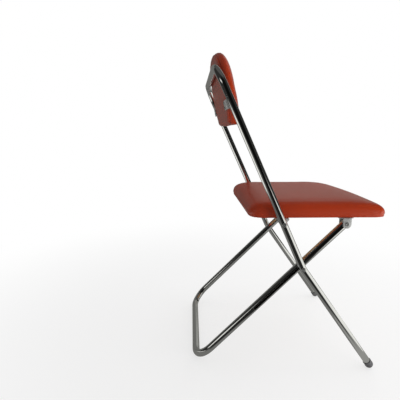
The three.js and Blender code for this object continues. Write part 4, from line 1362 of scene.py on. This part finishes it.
class CHAIR_OT_seat_pad(bpy.types.Operator):
    """Pads and covers the seat, with its hem turned in under the board"""

    bl_idname = "chair.seat_pad"
    bl_label = "Seat pad"

    def execute(self, context):
        p = chair_places(context.scene)
        pads = p.pads
        rear = p.origin_forward - pads.seat_rear
        centre = (0.0, rear - pads.seat_depth / 2)
        low = pads.seat_underside

        def thickness_at(x, y):
            forward = rear - y
            front_fall = rounded_fall(forward - (pads.seat_depth - pads.seat_front_slope),
                                      pads.seat_front_slope)
            rear_fall = rounded_fall(pads.seat_rear_slope - forward, pads.seat_rear_slope)
            front = pads.seat_front_thickness + pads.seat_front_crown * (
                1 - min(1, (x / p.seat_half) ** 2))
            return (pads.seat_thickness - (pads.seat_thickness - front) * front_fall
                    - (pads.seat_thickness - pads.seat_rear_thickness) * rear_fall)

        bm = sewn_pad(pads, SEAT_PROFILE, seat_outline(p), centre, thickness_at, low,
                      low + SEAT_HELD, seat_fullness)
        self.tuck_under(bm, p, centre)
        bmesh.ops.recalc_face_normals(bm, faces=bm.faces)
        self.gather_corners(bm, p, centre)
        piece = build("seat_pad", bm, ["leatherette"], "seat", ["seat_cover", "seat_foam"],
                      smooth_below=70)
        subdivide_once(piece)
        rub_edges(piece, lambda vert: self.rubbed_at(vert, rear, pads.seat_depth))
        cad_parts["seat_board"].data.materials.clear()
        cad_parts["seat_board"].data.materials.append(FINISHES["plywood"])
        return {"FINISHED"}

    def tuck_under(self, bm, p, centre):
        """Opens the underside and turns the cover's hem in round a pocket for the board."""
        pads, low = p.pads, p.pads.seat_underside
        edges = sliced(bm, (0, 0, low + HEM_CUT), UP, clear_inner=True)
        if not edges:
            raise RuntimeError("The seat's underside wasn't opened")
        half = Vector((p.seat_half, pads.seat_depth / 2))
        touch_gap = p.hardware.touch_gap
        board_low = low + pads.cover + touch_gap
        # Under the seat, round the hem's edge, back on top of it, and up the board's edge
        rings = [(inward * MM, low + up * MM) for inward, up in HEM_TURN]
        rings += [((pads.hem - HEM_ENDS) / 3, low)] * 3
        rings += [(0.5 * MM, low + 0.2 * MM), (0.1 * MM, board_low - 0.5 * MM),
                  (-0.3 * MM, board_low - touch_gap),
                  (-(pads.hem - POCKET_EDGE), board_low - touch_gap),
                  (-0.2 * MM, board_low), (0.0, board_low + pads.board),
                  (1.0 * MM, board_low + pads.board + touch_gap)]
        for inward, height in rings:
            edges = push(bm, edges, Vector((0, 0, 0)))
            for vert in verts_of(edges):
                vert.co.x *= 1 - inward / half.x
                vert.co.y = centre[1] + (vert.co.y - centre[1]) * (1 - inward / half.y)
                vert.co.z = height
        bmesh.ops.triangle_fill(bm, edges=edges, use_beauty=True)

    def gather_corners(self, bm, p, centre):
        """Small gathers where the cover is drawn under at the four corners."""
        low = p.pads.seat_underside
        corners = [(x, y, x * (p.seat_half - GATHER_INSET),
                    centre[1] + y * (p.pads.seat_depth / 2 - GATHER_INSET))
                   for x in (-1, 1) for y in (-1, 1)]
        bm.normal_update()
        for vert in bm.verts:
            up = vert.co.z - low
            if up > GATHER_HEIGHT:
                continue
            for way_x, way_y, cx, cy in corners:
                dx, dy = vert.co.x - cx, vert.co.y - cy
                if (min(dx * way_x, dy * way_y) < -GATHER_PAST
                        or math.hypot(dx, dy) < GATHER_FREE):
                    continue
                fade = max(0.0, 1 - up / GATHER_HEIGHT) ** 1.5
                turn = math.atan2(dy, dx)
                ripple = math.sin(turn * GATHERS + 3 * noise.noise(Vector((cx, cy, 0)) * 50))
                vert.co -= vert.normal * (GATHER_DEPTH * fade * (1 + ripple))

    def rubbed_at(self, vert, rear, depth):
        """Most on the rounded shoulders of the top, and more towards the front."""
        forward = (rear - vert.co.y) / depth
        side_on = 1 - abs(vert.normal.z)
        shoulder = max(0.0, 1 - abs(side_on - 0.35) / 0.3)
        return max(0.0, min(1.0, shoulder * (0.35 + 0.65 * forward) * (vert.normal.z > 0)))


# The seam round the backrest: rings beside it in mm, half the width that it draws in, its depth
SEAM_RINGS = (-2.4, -1.1, 0.0, 1.1, 2.4)
SEAM_HALF, SEAM_DEPTH = 2.3 * MM, 1.5 * MM


class CHAIR_OT_backrest_pad(bpy.types.Operator):
    """Pads the backrest and covers it with two faces that meet in a seam"""

    bl_idname = "chair.backrest_pad"
    bl_label = "Backrest pad"

    def execute(self, context):
        p = chair_places(context.scene)
        pads = p.pads
        centre = (0.0, p.waist)
        foot = pads.back_foot_thickness
        grows = (pads.back_head_thickness - foot) / p.back_length
        bm = sewn_pad(pads, BACK_PROFILE, back_outline(p), centre,
                      lambda x, y: foot + grows * y, 0.0, BACK_HELD, back_fullness,
                      math.tan(pads.back_rake))
        bmesh.ops.recalc_face_normals(bm, faces=bm.faces)
        bmesh.ops.subdivide_edges(bm, edges=bm.edges[:], cuts=1, smooth=0.5, use_grid_fill=True)
        lean = math.atan2(pads.back_seam * (pads.back_head_thickness - foot), p.back_length)
        across_seam = Vector((0, -math.sin(lean), math.cos(lean)))
        on_seam = Vector((0, 0, pads.back_seam * foot))
        self.pinch(bm, on_seam, across_seam, centre)
        halves = (("back_front_pad", 1, ["backrest_front_cover", "backrest_foam"]),
                  ("back_rear_panel", -1, ["backrest_rear_cover", "backrest_board"]))
        for label, way, nodes in halves:
            part = bm.copy()
            gap = across_seam * (way * p.hardware.touch_gap / 2)
            rim = sliced(part, on_seam + gap, across_seam * way, clear_inner=True)
            capped(part, rim)
            moved(part, p.back_frame)
            piece = build(label, part, ["leatherette"], "frame", nodes, smooth_below=60)
            rub_edges(piece, self.rubbed_at)
        bm.free()
        return {"FINISHED"}

    def pinch(self, bm, on_seam, across_seam, centre):
        """Draws the cover in along its seam."""
        for offset in SEAM_RINGS:
            sliced(bm, on_seam + across_seam * offset * MM, across_seam)
        middle = Vector((centre[0], centre[1], 0))
        for vert in bm.verts:
            away = abs((vert.co - on_seam).dot(across_seam))
            if away < SEAM_HALF:
                inward = middle - vert.co
                inward.z = 0
                depth = SEAM_DEPTH * (1 - away / SEAM_HALF) ** 1.6
                vert.co += inward.normalized() * depth

    def rubbed_at(self, vert):
        """Most where the two faces round over at the top."""
        shoulder = max(0.0, 1 - abs(abs(vert.normal.y) - 0.6) / 0.3)
        return min(1.0, shoulder * max(0.0, vert.normal.z + 0.2))


# Studio

# Camera fitted to the photograph: place, directions in degrees, focal length in mm
CAMERA_PLACE = (-1.0163, 0.2481, 0.6167)
CAMERA_DOWN, CAMERA_FORWARD = 11.068, 1.406
CAMERA_LENS = 31.05

# Soft lamps: name, place, target, size and power
LAMPS = [("low_lamp", (-1.1, -1.6, 0.2), (0, -0.1, 0.42), (1.6, 0.4), 26),
         ("top_lamp", (0.4, -1.1, 2.3), (0, 0, 0.3), (1.8, 1.8), 15),
         ("far_lamp", (1.8, -1.0, 1.0), (0, 0, 0.45), (1.4, 1.4), 12)]
# The world's plain light on surfaces
AMBIENT = 0.5

# The cards that the metal and the covers mirror, as seen from the chair, in degrees: direction
# from +X towards +Y, half the width, lowest and highest angle above the seat, softness, tone
CARDS = [(0, 180, -90, -40, 6, 0.19), (0, 180, -40, -14, 8, 0.14),
         (-24, 22, -12, 50, 14, 0.36), (8, 50, -10, 50, 12, 0.17),
         (0, 60, -34, -12, 6, 0.20), (90, 27, -31, -13, 4, 0.95),
         (122, 14, 6, 18, 4, 0.9), (-108, 42, -31, 6, 4, 0.95),
         (-110, 55, -58, -31, 6, 0.34), (0, 180, 56, 90, 12, 0.09)]
CARD_TINT = (1.0, 0.99, 0.92)
# A dark flag in front of the cards on the camera's side, and the share of light it takes away
FLAG, FLAG_LOSS = (180, 36, -46, 46, 10), 0.85
# Tone between the cards
DARK_WALL = 0.03
# Height that the cards' angles are seen from
EYE_LEVEL = 0.4
# The floor: its depth below the feet, and where it begins and ends to fade into the white
FLOOR_GAP = 0.3 * MM
FADE_FROM, FADE_TO, FADE_LEAST = 0.5, 1.5, 0.68
# Radius and height of the dome that bears the cards, from its floor to its crown
CARD_DOME = [(0, 0.0003), (0.3, 0.0003), (0.7, 0.0003), (1.4, 0.0006), (2.4, 0.02),
             (2.9, 0.25), (3.0, 0.8), (3.0, 2.0), (2.5, 2.9), (1.4, 3.4), (0, 3.5)]


def aim(item, target):
    item.rotation_mode = "QUATERNION"
    item.rotation_quaternion = (target - item.location).to_track_quat("-Z", "Y")


def soft_lamp(name, place, target, size, power):
    data = bpy.data.lights.new(name, "AREA")
    data.shape = "RECTANGLE"
    data.size, data.size_y = size
    data.energy = power
    lamp = placed(name, data)
    lamp.location = place
    aim(lamp, Vector(target))
    lamp.visible_glossy = False


def patch_mask(tree, way, rise, centre, half, low, high, soft):
    """A soft-edged field of directions, from 0 to 1."""
    centre, half, low, high, soft = (math.radians(v) for v in (centre, half, low, high, soft))
    beside = arithmetic(tree, "ABSOLUTE", arithmetic(
        tree, "WRAP", arithmetic(tree, "SUBTRACT", way, centre), math.pi, -math.pi))
    across = remap(tree, beside, half - soft / 2, half + soft / 2, 1.0, 0.0)
    above = remap(tree, rise, low - soft / 2, low + soft / 2)
    below = remap(tree, rise, high - soft / 2, high + soft / 2, 1.0, 0.0)
    mask = times(tree, above, below)
    return mask if half > math.radians(179) else times(tree, across, mask)


def wall_material():
    """Cards round the chair, seen only in its gloss: pale ones low in front and behind."""
    material = bpy.data.materials.new("studio_cards")
    material.use_nodes = True
    tree = material.node_tree
    tree.nodes.clear()
    position = tree.nodes.new("ShaderNodeTexCoord").outputs["Object"]
    axes = add_node(tree, "ShaderNodeSeparateXYZ", {"Vector": position}).outputs
    way = arithmetic(tree, "ARCTAN2", axes["Y"], axes["X"])
    flat = add_node(tree, "ShaderNodeCombineXYZ", {"X": axes["X"], "Y": axes["Y"]})
    out = add_node(tree, "ShaderNodeVectorMath", {0: flat.outputs["Vector"]},
                   operation="LENGTH").outputs["Value"]
    rise = arithmetic(tree, "ARCTAN2", arithmetic(tree, "SUBTRACT", axes["Z"], EYE_LEVEL), out)
    tone = DARK_WALL
    for *field, shine in CARDS:
        tone = arithmetic(tree, "MAXIMUM", tone,
                          times(tree, patch_mask(tree, way, rise, *field), shine))
    tone = times(tree, tone, times(tree, patch_mask(tree, way, rise, *FLAG), -FLAG_LOSS, 1.0))
    glow = add_node(tree, "ShaderNodeEmission",
                    {"Color": mixed(tree, 1.0, tone, CARD_TINT, "MULTIPLY"), "Strength": 1.0})
    add_node(tree, "ShaderNodeOutputMaterial", {"Surface": glow.outputs["Emission"]})
    material.cycles.emission_sampling = "NONE"
    return material


def seen_directly(tree):
    """1 where the camera looks, straight, in a mirror or through glass."""
    path = tree.nodes.new("ShaderNodeLightPath").outputs
    seen = arithmetic(tree, "MAXIMUM", path["Is Camera Ray"], path["Is Glossy Ray"])
    return arithmetic(tree, "MAXIMUM", seen, path["Is Transmission Ray"])


def floor_material(base):
    """Pale floor that fades into the white background away from the chair."""
    material, tree, shader, position = started_material("pale_floor")
    speckle = mottle(tree, position, 3.0)
    feed(tree, shader, {"Base Color": mixed(tree, speckle, scaled(base, 0.995), base),
                        "Roughness": 0.9, "Specular IOR Level": 0.1})
    distance = add_node(tree, "ShaderNodeVectorMath", {0: position}, operation="LENGTH")
    fade = remap(tree, distance.outputs["Value"], FADE_FROM, FADE_TO, FADE_LEAST, 1.0)
    white = add_node(tree, "ShaderNodeEmission", {"Color": (1, 1, 1), "Strength": 1.0})
    blend = add_node(tree, "ShaderNodeMixShader",
                     {0: times(tree, fade, seen_directly(tree)), 1: shader.outputs[0],
                      2: white.outputs[0]})
    feed(tree, tree.nodes["Material Output"], {"Surface": blend.outputs[0]})
    return material


def white_world():
    """White where the camera, metal or glass sees it, and a plain level of light elsewhere."""
    world = bpy.data.worlds.new("white_studio")
    bpy.context.scene.world = world
    world.use_nodes = True
    tree = world.node_tree
    feed(tree, tree.nodes["Background"], {
        "Color": (1, 1, 1), "Strength": times(tree, seen_directly(tree), 1 - AMBIENT, AMBIENT)})


class CHAIR_OT_studio(bpy.types.Operator):
    """Lays the floor, sets the lamps, the mirrored cards and the camera"""

    bl_idname = "chair.studio"
    bl_label = "Studio"

    def execute(self, context):
        scene = context.scene
        scene.view_settings.view_transform = "Standard"
        floor = bmesh.new()
        bmesh.ops.create_grid(floor, x_segments=8, y_segments=8, size=6.0)
        moved(floor, Matrix.Translation((0, 0, -FLOOR_GAP)))
        self.set_up("studio_floor", floor, floor_material(scene.chair_colors.floor))
        cards = self.set_up("studio_cards", spun(CARD_DOME, 96), wall_material())
        for way in ("camera", "diffuse", "transmission", "volume_scatter", "shadow"):
            setattr(cards, f"visible_{way}", False)
        white_world()
        for lamp in LAMPS:
            soft_lamp(*lamp)
        self.place_camera(scene)
        return {"FINISHED"}

    def set_up(self, name, bm, material):
        mesh = bpy.data.meshes.new(name)
        bm.to_mesh(mesh)
        bm.free()
        mesh.materials.append(material)
        item = placed(name, mesh)
        return item

    def place_camera(self, scene):
        data = bpy.data.cameras.new("side_camera")
        data.sensor_width = 36
        data.lens = CAMERA_LENS
        data.clip_start = 0.05
        data.clip_end = 60
        camera = placed("side_camera", data)
        camera.location = CAMERA_PLACE
        pitch, yaw = math.radians(CAMERA_DOWN), math.radians(CAMERA_FORWARD)
        aim(camera, camera.location + Vector((math.cos(pitch) * math.cos(yaw),
                                              -math.cos(pitch) * math.sin(yaw),
                                              -math.sin(pitch))))
        scene.camera = camera


class CHAIR_OT_finishes(bpy.types.Operator):
    """Mixes the finishes of all pieces"""

    bl_idname = "chair.finishes"
    bl_label = "Finishes"

    def execute(self, context):
        make_finishes(context.scene.chair_colors)
        return {"FINISHED"}


class CHAIR_PT_sidebar(bpy.types.Panel):
    """Lists the chair's pieces and its sizes and colours"""

    bl_idname = "CHAIR_PT_sidebar"
    bl_label = "Folding side chair"
    bl_space_type = "VIEW_3D"
    bl_region_type = "UI"
    bl_category = "Chair"

    def draw(self, context):
        for maker in MAKERS:
            self.layout.operator(maker.bl_idname)
        for attribute, group in SETTINGS.items():
            box = self.layout.box()
            for key in group.__annotations__:
                box.prop(getattr(context.scene, attribute), key)


SETTINGS = {"chair_tubes": ChairTubes, "chair_hardware": ChairHardware, "chair_pads": ChairPads,
            "chair_colors": ChairColors}
MAKERS = (CHAIR_OT_finishes, CHAIR_OT_upright_tube, CHAIR_OT_leg_tube, CHAIR_OT_foot_tips,
          CHAIR_OT_rivets, CHAIR_OT_brackets, CHAIR_OT_screws, CHAIR_OT_seat_pad,
          CHAIR_OT_backrest_pad, CHAIR_OT_studio)


def register():
    for group in SETTINGS.values():
        bpy.utils.register_class(group)
    for attribute, group in SETTINGS.items():
        setattr(bpy.types.Scene, attribute, PointerProperty(type=group))
    for maker in MAKERS:
        bpy.utils.register_class(maker)
    bpy.utils.register_class(CHAIR_PT_sidebar)


def unregister():
    bpy.utils.unregister_class(CHAIR_PT_sidebar)
    for maker in reversed(MAKERS):
        bpy.utils.unregister_class(maker)
    for attribute, group in SETTINGS.items():
        delattr(bpy.types.Scene, attribute)
        bpy.utils.unregister_class(group)


def main():
    register()
    bpy.ops.chair.finishes()
    bpy.ops.chair.upright_tube()
    bpy.ops.chair.leg_tube()
    bpy.ops.chair.foot_tips()
    bpy.ops.chair.rivets()
    bpy.ops.chair.brackets()
    bpy.ops.chair.screws()
    bpy.ops.chair.seat_pad()
    bpy.ops.chair.backrest_pad()
    bpy.ops.chair.studio()


if __name__ == "__main__":
    main()
